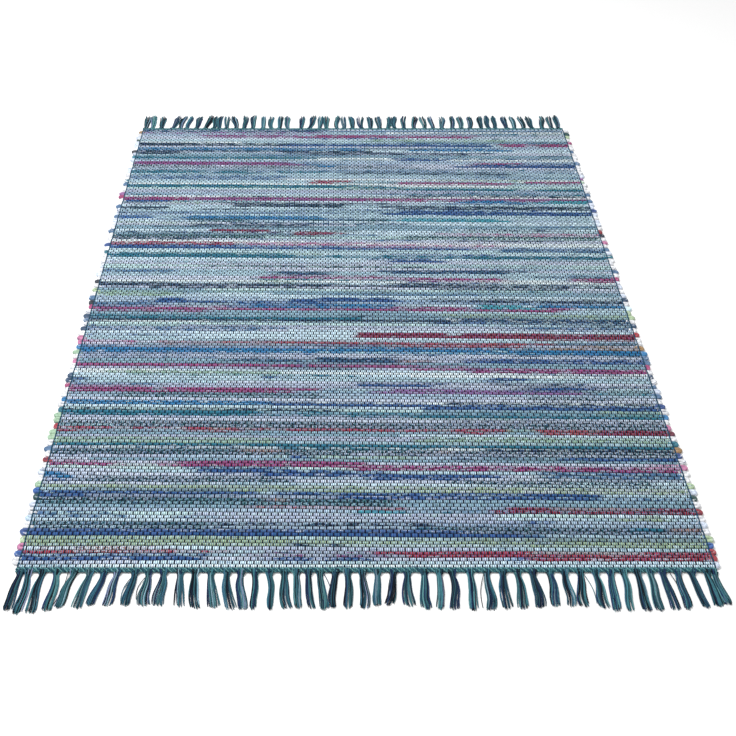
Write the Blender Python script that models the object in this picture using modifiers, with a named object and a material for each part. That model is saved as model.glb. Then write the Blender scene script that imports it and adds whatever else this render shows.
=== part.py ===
"""A flat-woven rag rug, lying flat, with a twined heading and a knotted warp fringe at each end.

Metres, +Z up. +Y runs along the warp, from the front end to the back end, and +X
across it. The origin is the middle of the underside.
"""

import math

import bmesh
import bpy

# Driving sizes of the woven cloth.
WIDTH = 1.400
LENGTH = 2.000
THICKNESS = 0.0080
GAP = 0.0003

# The weft: rag picks beaten to a pitch of 10 mm, which turn back in pairs at each selvedge.
TURNS = 100
RIB_DEPTH = 0.0024
LOOP_REACH = 0.0125
LOOP_STRAY = 0.0035
LOOP_NOTCH = 0.15
LOOP_SHOULDER = 0.85
EDGE_ROUND = 0.0040

# The heading: a twined cord that locks the first and last picks.
HEADING_DEPTH = 0.0090
HEADING_HEIGHT = 0.0084
HEADING_OVERHANG = 0.0035
HEADING_ROUND = 0.0030

# The fringe: warp ends gathered into tassels that hang from a thin row of knots.
KNOT_ROW_DEPTH = 0.0040
FRINGE_HEIGHT = 0.0052
NECK_WIDTH = 0.0100
NECK_AT = 0.10
BELLY_AT = 0.45

# One row a tassel, left to right, in millimetres from the middle of the end:
# (place at the heading, lean of the tip, spread at the tip, reach).
FRONT_TASSELS = (
    (-692, -8, 15, 101), (-676, -4, 14, 110), (-648, -4, 18, 109), (-619, -2, 16, 104),
    (-585, -15, 16, 94), (-553, -11, 18, 96), (-525, -14, 15, 89), (-499, -9, 19, 89),
    (-463, -9, 16, 90), (-435, 1, 19, 90), (-405, -1, 24, 89), (-372, 7, 18, 91),
    (-343, 10, 21, 96), (-311, 13, 20, 94), (-279, 14, 19, 99), (-251, 9, 16, 99),
    (-223, 0, 10, 98), (-194, 5, 10, 98), (-164, 9, 19, 97), (-140, 7, 15, 95),
    (-116, 9, 13, 96), (-93, 8, 14, 99), (-63, -5, 12, 95), (-38, 0, 15, 95),
    (-8, 2, 16, 96), (22, -3, 14, 90), (53, -13, 16, 87), (82, 2, 18, 90),
    (115, 2, 18, 98), (145, -4, 12, 98), (171, -4, 16, 99), (207, -1, 15, 100),
    (240, -2, 16, 100), (272, 0, 21, 97), (302, 1, 17, 97), (332, 2, 17, 94),
    (367, -1, 16, 90), (396, 0, 19, 90), (427, -4, 17, 92), (458, 4, 19, 95),
    (488, -5, 14, 103), (514, -4, 13, 102), (542, 1, 15, 102), (567, 1, 15, 102),
    (592, 6, 16, 99), (622, 0, 14, 99), (650, 10, 11, 94), (680, 4, 15, 90),
    (695, 8, 14, 86),
)
BACK_TASSELS = (
    (-693, -5, 17, 104), (-672, -4, 16, 107), (-641, -5, 18, 102), (-603, 14, 15, 105),
    (-577, 11, 13, 102), (-556, 8, 12, 102), (-524, 9, 16, 100), (-494, 12, 15, 108),
    (-466, 2, 14, 104), (-449, 4, 13, 103), (-423, -4, 13, 104), (-391, -14, 16, 103),
    (-365, -1, 14, 106), (-335, 3, 15, 110), (-301, -2, 14, 103), (-273, -3, 13, 102),
    (-246, 3, 15, 106), (-218, -6, 15, 104), (-174, 4, 13, 102), (-146, 17, 14, 108),
    (-112, 6, 14, 104), (-89, 0, 14, 103), (-54, 6, 13, 106), (-29, -2, 14, 103),
    (-1, -8, 15, 101), (29, -2, 18, 101), (59, -6, 16, 100), (89, -2, 18, 102),
    (117, 9, 16, 101), (141, 3, 14, 102), (171, 6, 12, 104), (205, 6, 15, 103),
    (240, -6, 15, 101), (269, -7, 12, 102), (298, 3, 14, 100), (332, 5, 13, 105),
    (362, 2, 16, 103), (393, 2, 18, 102), (430, 6, 14, 104), (456, -2, 12, 108),
    (476, 3, 12, 106), (515, 0, 13, 102), (542, -5, 14, 101), (573, -5, 13, 102),
    (601, -8, 17, 103), (635, 7, 13, 104), (665, 4, 14, 103), (688, 3, 15, 110),
)

# Plain colours: linear red, green, blue.
CLOTH_BLUE = (0.34, 0.42, 0.50)
HEADING_TEAL = (0.07, 0.19, 0.22)
FRINGE_TEAL = (0.03, 0.11, 0.15)


def stray(step, salt):
    """A repeatable scatter from -1 to 1: the broken-off part of a large sine."""
    value = math.sin(12.9898 * step + 78.233 * salt) * 43758.5453
    return 2 * (value - math.floor(value)) - 1


def finish(name, colour, roughness):
    material = bpy.data.materials.new(name)
    material.use_nodes = True
    shader = material.node_tree.nodes["Principled BSDF"]
    shader.inputs["Base Color"].default_value = (*colour, 1)
    shader.inputs["Roughness"].default_value = roughness
    shader.inputs["Metallic"].default_value = 0
    return material


def clear_scene():
    for thing in list(bpy.data.objects):
        bpy.data.objects.remove(thing, do_unlink=True)


def add_object(name, data, collection, material):
    thing = bpy.data.objects.new(name, data)
    collection.objects.link(thing)
    data.materials.append(material)
    return thing


def loop_reach(turn, side):
    """How far the weft stands out where it turns back: a scatter that keeps a firm upper limit."""
    return LOOP_REACH + LOOP_STRAY * max(-1, min(1, 1.3 * stray(turn, side)))


def cloth_stations():
    """Four stations a turn of weft, from the front: (y, left reach, right reach, height).

    The loops on the right span picks one and two of each pair, those on the left
    picks two and three, and each pick is a rib of the cloth."""
    half = LENGTH / 2 - HEADING_DEPTH - GAP
    pitch = 2 * half / TURNS
    rib_top = THICKNESS
    rib_foot = THICKNESS - RIB_DEPTH
    notch = LOOP_NOTCH
    shoulder = LOOP_SHOULDER
    stations = []
    for turn in range(TURNS):
        start = -half + turn * pitch
        left = loop_reach(turn, 1)
        left_next = loop_reach(turn + 1, 1)
        right = loop_reach(turn, 2)
        stations.append((start, left, notch * right, rib_foot))
        stations.append((start + 0.25 * pitch, shoulder * left, shoulder * right, rib_top))
        stations.append((start + 0.50 * pitch, notch * left, right, rib_foot))
        stations.append((start + 0.75 * pitch, shoulder * left_next, shoulder * right, rib_top))
    stations.append((half, notch * left, notch * right, rib_foot))
    return stations


def section(y, left, right, height):
    """One cross-section of the cloth: a flat strip with its two edges rounded to a ridge."""
    low = -WIDTH / 2 - left
    high = WIDTH / 2 + right
    middle = 0.5 * height
    return (
        (low, y, middle),
        (low + EDGE_ROUND, y, height),
        (high - EDGE_ROUND, y, height),
        (high, y, middle),
        (high - EDGE_ROUND, y, 0),
        (low + EDGE_ROUND, y, 0),
    )


def make_cloth(collection):
    """The woven rectangle: a loft through the stations, closed by its two end sections."""
    mesh_data = bmesh.new()
    rings = []
    for station in cloth_stations():
        rings.append([mesh_data.verts.new(point) for point in section(*station)])
    for ring, following in zip(rings, rings[1:]):
        for side in range(len(ring)):
            beside = (side + 1) % len(ring)
            mesh_data.faces.new((ring[side], following[side], following[beside], ring[beside]))
    mesh_data.faces.new(rings[0])
    mesh_data.faces.new(rings[-1])
    bmesh.ops.recalc_face_normals(mesh_data, faces=mesh_data.faces)
    mesh = bpy.data.meshes.new("rug_body")
    mesh_data.to_mesh(mesh)
    mesh_data.free()
    return add_object("rug_body", mesh, collection, finish("rag_weave", CLOTH_BLUE, 0.9))


def make_heading(name, end, collection, material):
    """A straight cord along one end, a box with rounded edges. end is -1 in front, 1 at the back."""
    bpy.ops.mesh.primitive_cube_add(size=1)
    heading = bpy.context.object
    heading.name = name
    heading.data.name = name
    length = WIDTH + 2 * HEADING_OVERHANG
    heading.scale = (length, HEADING_DEPTH, HEADING_HEIGHT)
    heading.location = (0, end * (LENGTH - HEADING_DEPTH) / 2, HEADING_HEIGHT / 2)
    bpy.ops.object.transform_apply(location=False, rotation=False, scale=True)
    for owner in list(heading.users_collection):
        owner.objects.unlink(heading)
    collection.objects.link(heading)
    heading.data.materials.append(material)
    bevel = heading.modifiers.new("rounded", "BEVEL")
    bevel.width = HEADING_ROUND
    bevel.segments = 2
    return heading


def tassel_side(place, lean, spread, reach, side):
    """Points down one side of a tassel, from its root to its tip: (x, depth past the knots)."""
    half_neck = NECK_WIDTH / 2
    half_tip = spread / 2
    half_belly = 0.4 * half_neck + 0.6 * half_tip
    profile = (
        (0.00, 1.15 * half_neck),
        (NECK_AT, 0.85 * half_neck),
        (BELLY_AT, half_belly),
        (1.00, half_tip),
    )
    return [(place + lean * down + side * half, reach * down) for down, half in profile]


def fringe_outline(tassels, end):
    """The comb's outline, anticlockwise seen from above for end -1: a row of knots with teeth."""
    millimetre = 0.001
    root = LENGTH / 2 + GAP
    edge = root + KNOT_ROW_DEPTH
    corner = WIDTH / 2 + HEADING_OVERHANG
    points = [(-corner, root), (-corner, edge)]
    for row in tassels:
        place, lean, spread, reach = (value * millimetre for value in row)
        left = tassel_side(place, lean, spread, reach - KNOT_ROW_DEPTH, -1)
        right = tassel_side(place, lean, spread, reach - KNOT_ROW_DEPTH, 1)
        points += [(x, edge + depth) for x, depth in left + right[::-1]]
    points += [(corner, edge), (corner, root)]
    return [(x, end * y) for x, y in points]


def make_fringe(name, tassels, end, collection, material):
    """One comb of tassels: its outline filled, and extruded to the height of a tassel."""
    curve = bpy.data.curves.new(name, "CURVE")
    curve.dimensions = "2D"
    curve.fill_mode = "BOTH"
    curve.extrude = FRINGE_HEIGHT / 2
    outline = fringe_outline(tassels, end)
    spline = curve.splines.new("POLY")
    spline.points.add(len(outline) - 1)
    for point, (x, y) in zip(spline.points, outline):
        point.co = (x, y, 0, 1)
    spline.use_cyclic_u = True
    fringe = add_object(name, curve, collection, material)
    fringe.location = (0, 0, FRINGE_HEIGHT / 2)
    return fringe


def main():
    clear_scene()
    collection = bpy.data.collections.new("rag_rug")
    bpy.context.scene.collection.children.link(collection)
    make_cloth(collection)
    heading_yarn = finish("heading_yarn", HEADING_TEAL, 0.85)
    make_heading("heading_front", -1, collection, heading_yarn)
    make_heading("heading_back", 1, collection, heading_yarn)
    fringe_yarn = finish("fringe_yarn", FRINGE_TEAL, 0.85)
    make_fringe("fringe_front", FRONT_TASSELS, -1, collection, fringe_yarn)
    make_fringe("fringe_back", BACK_TASSELS, 1, collection, fringe_yarn)


main()
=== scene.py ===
"""The looks of a flat-woven rag rug: printed rag weft on a fine cotton warp, with its turns
along both selvedges, a twined heading and a fringe of warp tassels at each end."""

import math

import bpy
import mathutils
import numpy as np
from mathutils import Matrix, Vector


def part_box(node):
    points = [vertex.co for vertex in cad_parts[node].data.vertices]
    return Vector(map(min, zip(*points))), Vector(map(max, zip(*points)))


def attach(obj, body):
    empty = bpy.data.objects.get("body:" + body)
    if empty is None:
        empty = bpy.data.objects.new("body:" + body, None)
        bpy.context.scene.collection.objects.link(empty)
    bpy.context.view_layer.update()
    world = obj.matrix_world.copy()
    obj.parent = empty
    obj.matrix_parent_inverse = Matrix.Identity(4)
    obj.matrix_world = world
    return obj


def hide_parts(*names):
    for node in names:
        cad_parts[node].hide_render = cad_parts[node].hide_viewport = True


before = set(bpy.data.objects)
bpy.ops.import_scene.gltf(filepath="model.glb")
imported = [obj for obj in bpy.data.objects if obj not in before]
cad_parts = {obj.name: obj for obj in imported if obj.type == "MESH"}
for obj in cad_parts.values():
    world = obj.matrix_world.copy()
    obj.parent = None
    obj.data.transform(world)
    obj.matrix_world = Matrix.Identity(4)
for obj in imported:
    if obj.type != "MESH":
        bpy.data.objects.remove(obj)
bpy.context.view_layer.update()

MM = 0.001
BODY = "root"

# The rug with its headings, and the cloth between them. The cloth's ends come from the frame,
# and its width is that between the outer warps.
WIDTH = 1.400
LENGTH = 2.000
GAP = 0.0003
HEADING_DEPTH = 0.0090
cloth_low, cloth_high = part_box("rug_body")
FRONT_END = cloth_low.y
BACK_END = cloth_high.y
CLOTH_LENGTH = BACK_END - FRONT_END
PICKS = 200
PITCH = CLOTH_LENGTH / PICKS
UNITS = 96
UNIT = WIDTH / UNITS
COLUMNS_IN_UNIT = 4
COLUMNS = UNITS * COLUMNS_IN_UNIT
BANDS = 10
PICKS_IN_BAND = PICKS // BANDS

# Heights in the cloth, above the floor, how far a dark end pinches a pick, and the scatter.
CROWN = 0.0080
VALLEY = 0.0047
UNDER_CROWN = 0.0003
UNDER_VALLEY = 0.0030
PINCH = 0.0015
CROWN_SCATTER = 0.0006
CROWN_ALLOWANCE = 0.0004
VALLEY_SCATTER = 0.0005

# Places across one pick, from its front valley to the next, and how far each stands up.
ACROSS = np.array((0.0, 0.2, 0.5, 0.8, 1.0))
RISE = np.array((0.0, 0.76, 1.0, 0.76, 0.0))
LINES_IN_PICK = len(ACROSS) - 1

# The picks run down to the right, by SKEW at each edge. Over some SKEW_EASE picks at each end
# of the cloth that slope fades out, and over the last STRAIGHT_PICKS so do their two wavers.
# The scatter of their widths is a share of the pitch.
SKEW = 0.0095
SKEW_EASE = 12.0
WIDTH_SCATTER = 0.17
BROAD_WAVER = 0.0016
FINE_WAVER = 0.0008
STRAIGHT_PICKS = 3

# The camera: it looks down on the rug from in front of its front end, a little left of its
# middle.
CAMERA_ASIDE = -0.0677
CAMERA_AHEAD = 1.6391
CAMERA_HEIGHT = 1.7568
CAMERA_TILT = 37.15
LENS = 57.84
LENS_SHIFT = 0.048

# The floor, and the light on it.
FLOOR_HALF = 30.0
FLOOR_TONE = 0.82
LIGHT_PLACE = (-1.7, 0.1, 3.8)
LIGHT_AIM = (0, 0, 0)
LIGHT_SIZE = 2.2
LIGHT_POWER = 178
WORLD_STRENGTH = 0.79


# ---------------------------------------------------------------- scatter and shared numbers

def eased(value):
    """The smooth step 3v^2 - 2v^3."""
    return value * value * (3 - 2 * value)


def scatter(rows, columns, row_cell, column_cell, seed):
    """Smooth scatter from -1 to 1 on a grid: random values at every few rows and columns,
    eased from each to the next along both ways."""
    source = np.random.default_rng(seed)
    row = np.arange(rows) / row_cell
    column = np.arange(columns) / column_cell
    coarse = source.uniform(-1, 1, (int(row[-1]) + 2, int(column[-1]) + 2))
    row_floor = row.astype(int)
    column_floor = column.astype(int)
    down = eased(row - row_floor)[:, None]
    along = eased(column - column_floor)[None, :]
    near = coarse[row_floor] * (1 - down) + coarse[row_floor + 1] * down
    return near[:, column_floor] * (1 - along) + near[:, column_floor + 1] * along


def linear(red, green, blue):
    """A colour from its 0 to 255 display values, made linear."""
    share = np.array((red, green, blue)) / 255
    return np.where(share <= 0.04045, share / 12.92, ((share + 0.055) / 1.055) ** 2.4)


def opaque(red, green, blue):
    """The same as a colour for a socket, with its alpha of 1."""
    return (*linear(red, green, blue), 1)


# ---------------------------------------------------------------- meshes from arrays

def add_mesh(name, points, face_groups, material, uv_maps=None, colours=None, values=None):
    """A piece from whole arrays: points, groups of faces with 3 or 4 corners each, and what
    its corners hold, in the order of the faces."""
    mesh = bpy.data.meshes.new(name)
    mesh.vertices.add(len(points))
    mesh.vertices.foreach_set("co", np.asarray(points, np.float32).ravel())
    corners = np.concatenate([faces.ravel() for faces in face_groups]).astype(np.int32)
    sizes = np.concatenate([np.full(len(faces), faces.shape[1]) for faces in face_groups])
    mesh.loops.add(len(corners))
    mesh.loops.foreach_set("vertex_index", corners)
    mesh.polygons.add(len(sizes))
    starts = np.concatenate(([0], np.cumsum(sizes)[:-1])).astype(np.int32)
    mesh.polygons.foreach_set("loop_start", starts)
    mesh.update(calc_edges=True)
    for map_name, uv in (uv_maps or {}).items():
        layer = mesh.uv_layers.new(name=map_name)
        layer.uv.foreach_set("vector", np.asarray(uv, np.float32).ravel())
    for colour_name, colour in (colours or {}).items():
        attribute = mesh.attributes.new(colour_name, "FLOAT_COLOR", "CORNER")
        with_alpha = np.concatenate((colour, np.ones((len(colour), 1))), axis=1)
        attribute.data.foreach_set("color", with_alpha.astype(np.float32).ravel())
    for value_name, value in (values or {}).items():
        attribute = mesh.attributes.new(value_name, "FLOAT", "CORNER")
        attribute.data.foreach_set("value", np.asarray(value, np.float32).ravel())
    mesh.materials.append(material)
    mesh.polygons.foreach_set("use_smooth", np.ones(len(sizes), bool))
    piece = bpy.data.objects.new(name, mesh)
    bpy.context.scene.collection.objects.link(piece)
    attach(piece, BODY)
    return piece


def mark_creases(piece, crease_number):
    """Makes sharp each edge whose two ends share a crease number of 0 or more."""
    mesh = piece.data
    ends = np.empty(len(mesh.edges) * 2, np.int32)
    mesh.edges.foreach_get("vertices", ends)
    first, second = crease_number[ends.reshape(-1, 2)].T
    sharp = mesh.attributes.new("sharp_edge", "BOOLEAN", "EDGE")
    sharp.data.foreach_set("value", (first >= 0) & (first == second))


def grid_faces(lines, columns, start=0, upward=True):
    """Quads between neighbouring lines and columns of a grid of points."""
    index = start + np.arange(lines * columns).reshape(lines, columns)
    quads = np.stack((index[:-1, :-1], index[:-1, 1:], index[1:, 1:], index[1:, :-1]), axis=-1)
    quads = quads.reshape(-1, 4)
    return quads if upward else quads[:, ::-1]


def stitch(fine, coarse):
    """Triangles between a fine row of points and a coarse one with the same ends, wound so
    that fine runs along the top and coarse along the bottom as seen from outside."""
    step = (len(fine) - 1) // (len(coarse) - 1)
    cell = np.arange(len(fine) - 1) // step
    nearer = np.where(np.arange(len(fine) - 1) % step < (step + 1) // 2, cell, cell + 1)
    upper = np.stack((fine[:-1], coarse[nearer], fine[1:]), axis=1)
    middle = fine[np.arange(len(coarse) - 1) * step + (step + 1) // 2]
    lower = np.stack((coarse[:-1], coarse[1:], middle), axis=1)
    return np.concatenate((upper, lower))


def tube(path, across, up, half_wide, half_high, sides):
    """Rings of points round paths. path is (tubes, stations, 3), and each ring is an ellipse
    in the plane of its station's across and up vectors."""
    angle = np.arange(sides) / sides * 2 * math.pi
    ring_across = half_wide[..., None, None] * np.cos(angle)[:, None] * across[..., None, :]
    ring_up = half_high[..., None, None] * np.sin(angle)[:, None] * up[..., None, :]
    return path[..., None, :] + ring_across + ring_up


def tube_faces(tubes, stations, sides):
    """Quads along tubes of rings, and a fan of triangles to a point at each of their ends."""
    index = np.arange(tubes * stations * sides).reshape(tubes, stations, sides)
    beside = np.roll(index, -1, axis=2)
    quads = np.stack((index[:, :-1], beside[:, :-1], beside[:, 1:], index[:, 1:]), axis=-1)
    tips = tubes * stations * sides + np.arange(tubes * 2).reshape(tubes, 2)
    first = np.broadcast_to(tips[:, :1], (tubes, sides))
    last = np.broadcast_to(tips[:, 1:], (tubes, sides))
    front = np.stack((index[:, 0], first, beside[:, 0]), axis=-1)
    back = np.stack((beside[:, -1], last, index[:, -1]), axis=-1)
    return quads.reshape(-1, 4), front.reshape(-1, 3), back.reshape(-1, 3)


# Of a tube's cell in the bake map: the margin round it, and the part that each end's fan takes.
CELL_MARGIN = 0.06
FAN_SHARE = 0.06


def tube_maps(tubes, stations, sides, lengths):
    """Corner maps for tube_faces: 'yarn' holds turns round the tube and millimetres along it,
    and 'OFBake' lays each tube in a cell of its own, in rows of a square."""
    across = int(math.ceil(math.sqrt(tubes)))
    cell = 1 / across
    margin = CELL_MARGIN * cell
    inner = cell - 2 * margin
    number = np.arange(tubes)
    corner_u = (number % across) * cell + margin
    corner_v = (number // across) * cell + margin
    side = np.arange(sides)[None, None, :]
    station = np.arange(stations - 1)[None, :, None]
    sideways = np.stack((side, side + 1, side + 1, side), axis=-1) / sides
    along = np.stack((station, station, station + 1, station + 1), axis=-1) / (stations - 1)
    shape = (tubes, stations - 1, sides, 4)
    sideways = np.broadcast_to(sideways, shape)
    along = np.broadcast_to(along, shape)
    run = along * np.asarray(lengths)[:, None, None, None] / MM
    yarn = [np.stack((sideways, run), axis=-1).reshape(-1, 2)]
    flat_u = corner_u[:, None, None, None] + inner * sideways
    flat_v = corner_v[:, None, None, None] + inner * (FAN_SHARE + (1 - 2 * FAN_SHARE) * along)
    bake = [np.stack((flat_u, flat_v), axis=-1).reshape(-1, 2)]
    side = np.arange(sides)[None, :]
    for end, order in ((0, (0, 0.5, 1)), (1, (1, 0.5, 0))):
        turn = np.stack([(side + part) / sides for part in order], axis=-1)
        turn = np.broadcast_to(turn, (tubes, sides, 3))
        away = np.broadcast_to(np.array((0.0, 1.0, 0.0)), (tubes, sides, 3))
        fan = FAN_SHARE * (1 - away)
        height = fan if end == 0 else 1 - fan
        run = np.zeros((tubes, sides, 3)) + (end * np.asarray(lengths) / MM)[:, None, None]
        yarn.append(np.stack((turn, run), axis=-1).reshape(-1, 2))
        flat_u = corner_u[:, None, None] + inner * turn
        flat_v = corner_v[:, None, None] + inner * height
        bake.append(np.stack((flat_u, flat_v), axis=-1).reshape(-1, 2))
    return {"yarn": np.concatenate(yarn), "OFBake": np.concatenate(bake)}


def tube_corners(per_station, tubes, stations, sides):
    """Spreads what each station of each tube holds over the corners of tube_faces."""
    depth = per_station.shape[2:]
    pairs = np.stack((per_station[:, :-1], per_station[:, :-1],
                      per_station[:, 1:], per_station[:, 1:]), axis=2)
    pairs = np.broadcast_to(pairs[:, :, None], (tubes, stations - 1, sides, 4) + depth)
    front = np.broadcast_to(per_station[:, :1, None], (tubes, sides, 3) + depth)
    back = np.broadcast_to(per_station[:, -1:, None], (tubes, sides, 3) + depth)
    return np.concatenate([part.reshape((-1,) + depth) for part in (pairs, front, back)])


# ---------------------------------------------------------------- where the picks lie

COLUMN_X = np.linspace(-WIDTH / 2, WIDTH / 2, COLUMNS + 1)


def valley_lines():
    """How far along each valley lies at each column: pick widths with a little scatter, added up,
    a slope down to the right that fades out at both ends, and two sizes of waver."""
    source = np.random.default_rng(11)
    widths = 1 + WIDTH_SCATTER * source.uniform(-1, 1, PICKS)
    steps = np.concatenate(([0], np.cumsum(widths))) / widths.sum() * CLOTH_LENGTH
    number = np.arange(PICKS + 1)
    fade = (1 - np.exp(-number / SKEW_EASE)) * (1 - np.exp(-(PICKS - number) / SKEW_EASE))
    slope = -SKEW * (COLUMN_X / (WIDTH / 2))[None, :] * fade[:, None]
    end_fade = np.minimum(1, np.minimum(number, PICKS - number) / STRAIGHT_PICKS)[:, None]
    broad = BROAD_WAVER * scatter(PICKS + 1, COLUMNS + 1, row_cell=6, column_cell=70, seed=12)
    fine = FINE_WAVER * scatter(PICKS + 1, COLUMNS + 1, row_cell=1, column_cell=14, seed=13)
    return FRONT_END + steps[:, None] + slope + end_fade * (broad + fine)


VALLEYS = valley_lines()


def over_dark_end():
    """True where a column lies under the dark end that crosses its pick, for (pick, column): once
    in each unit, half a unit aside in every other pick."""
    column = np.arange(COLUMNS + 1)[None, :]
    half = COLUMNS_IN_UNIT // 2 * (np.arange(PICKS)[:, None] % 2)
    return (column + half) % COLUMNS_IN_UNIT == 0


# ---------------------------------------------------------------- the colours of the weft

# Each printed rag: its printed face, and the paler back that shows where the strip has rolled.
RAG_FACES = {
    "chalk": linear(224, 226, 230),
    "white": linear(236, 249, 250),
    "ice": linear(210, 234, 244),
    "mint": linear(200, 230, 228),
    "aqua": linear(188, 216, 226),
    "lilac": linear(206, 216, 232),
    "dove": linear(186, 196, 216),
    "grey": linear(180, 202, 220),
    "stone": linear(146, 178, 192),
    "slate": linear(74, 108, 144),
    "navyslate": linear(34, 64, 94),
    "navy": linear(36, 70, 130),
    "royal": linear(36, 84, 152),
    "blue": linear(32, 112, 164),
    "teal": linear(24, 104, 122),
    "turquoise": linear(66, 152, 166),
    "lime": linear(160, 182, 146),
    "sage": linear(150, 180, 152),
    "red": linear(156, 36, 50),
    "crimson": linear(132, 14, 34),
    "maroon": linear(96, 14, 34),
    "ochre": linear(150, 116, 70),
    "magenta": linear(152, 50, 104),
    "pink": linear(184, 112, 150),
    "purple": linear(140, 88, 142),
    "forest": linear(14, 62, 58),
    "ink": linear(18, 28, 44),
    "orange": linear(160, 112, 88),
    "rust": linear(158, 58, 58),
    "mauve": linear(140, 58, 116),
}

# The pale rags that make the ground of the rug, in the share in which they come.
GROUND = ("ice", "mint", "aqua", "lilac", "grey", "lilac", "aqua", "dove", "white", "grey", "stone",
          "ice")

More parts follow.
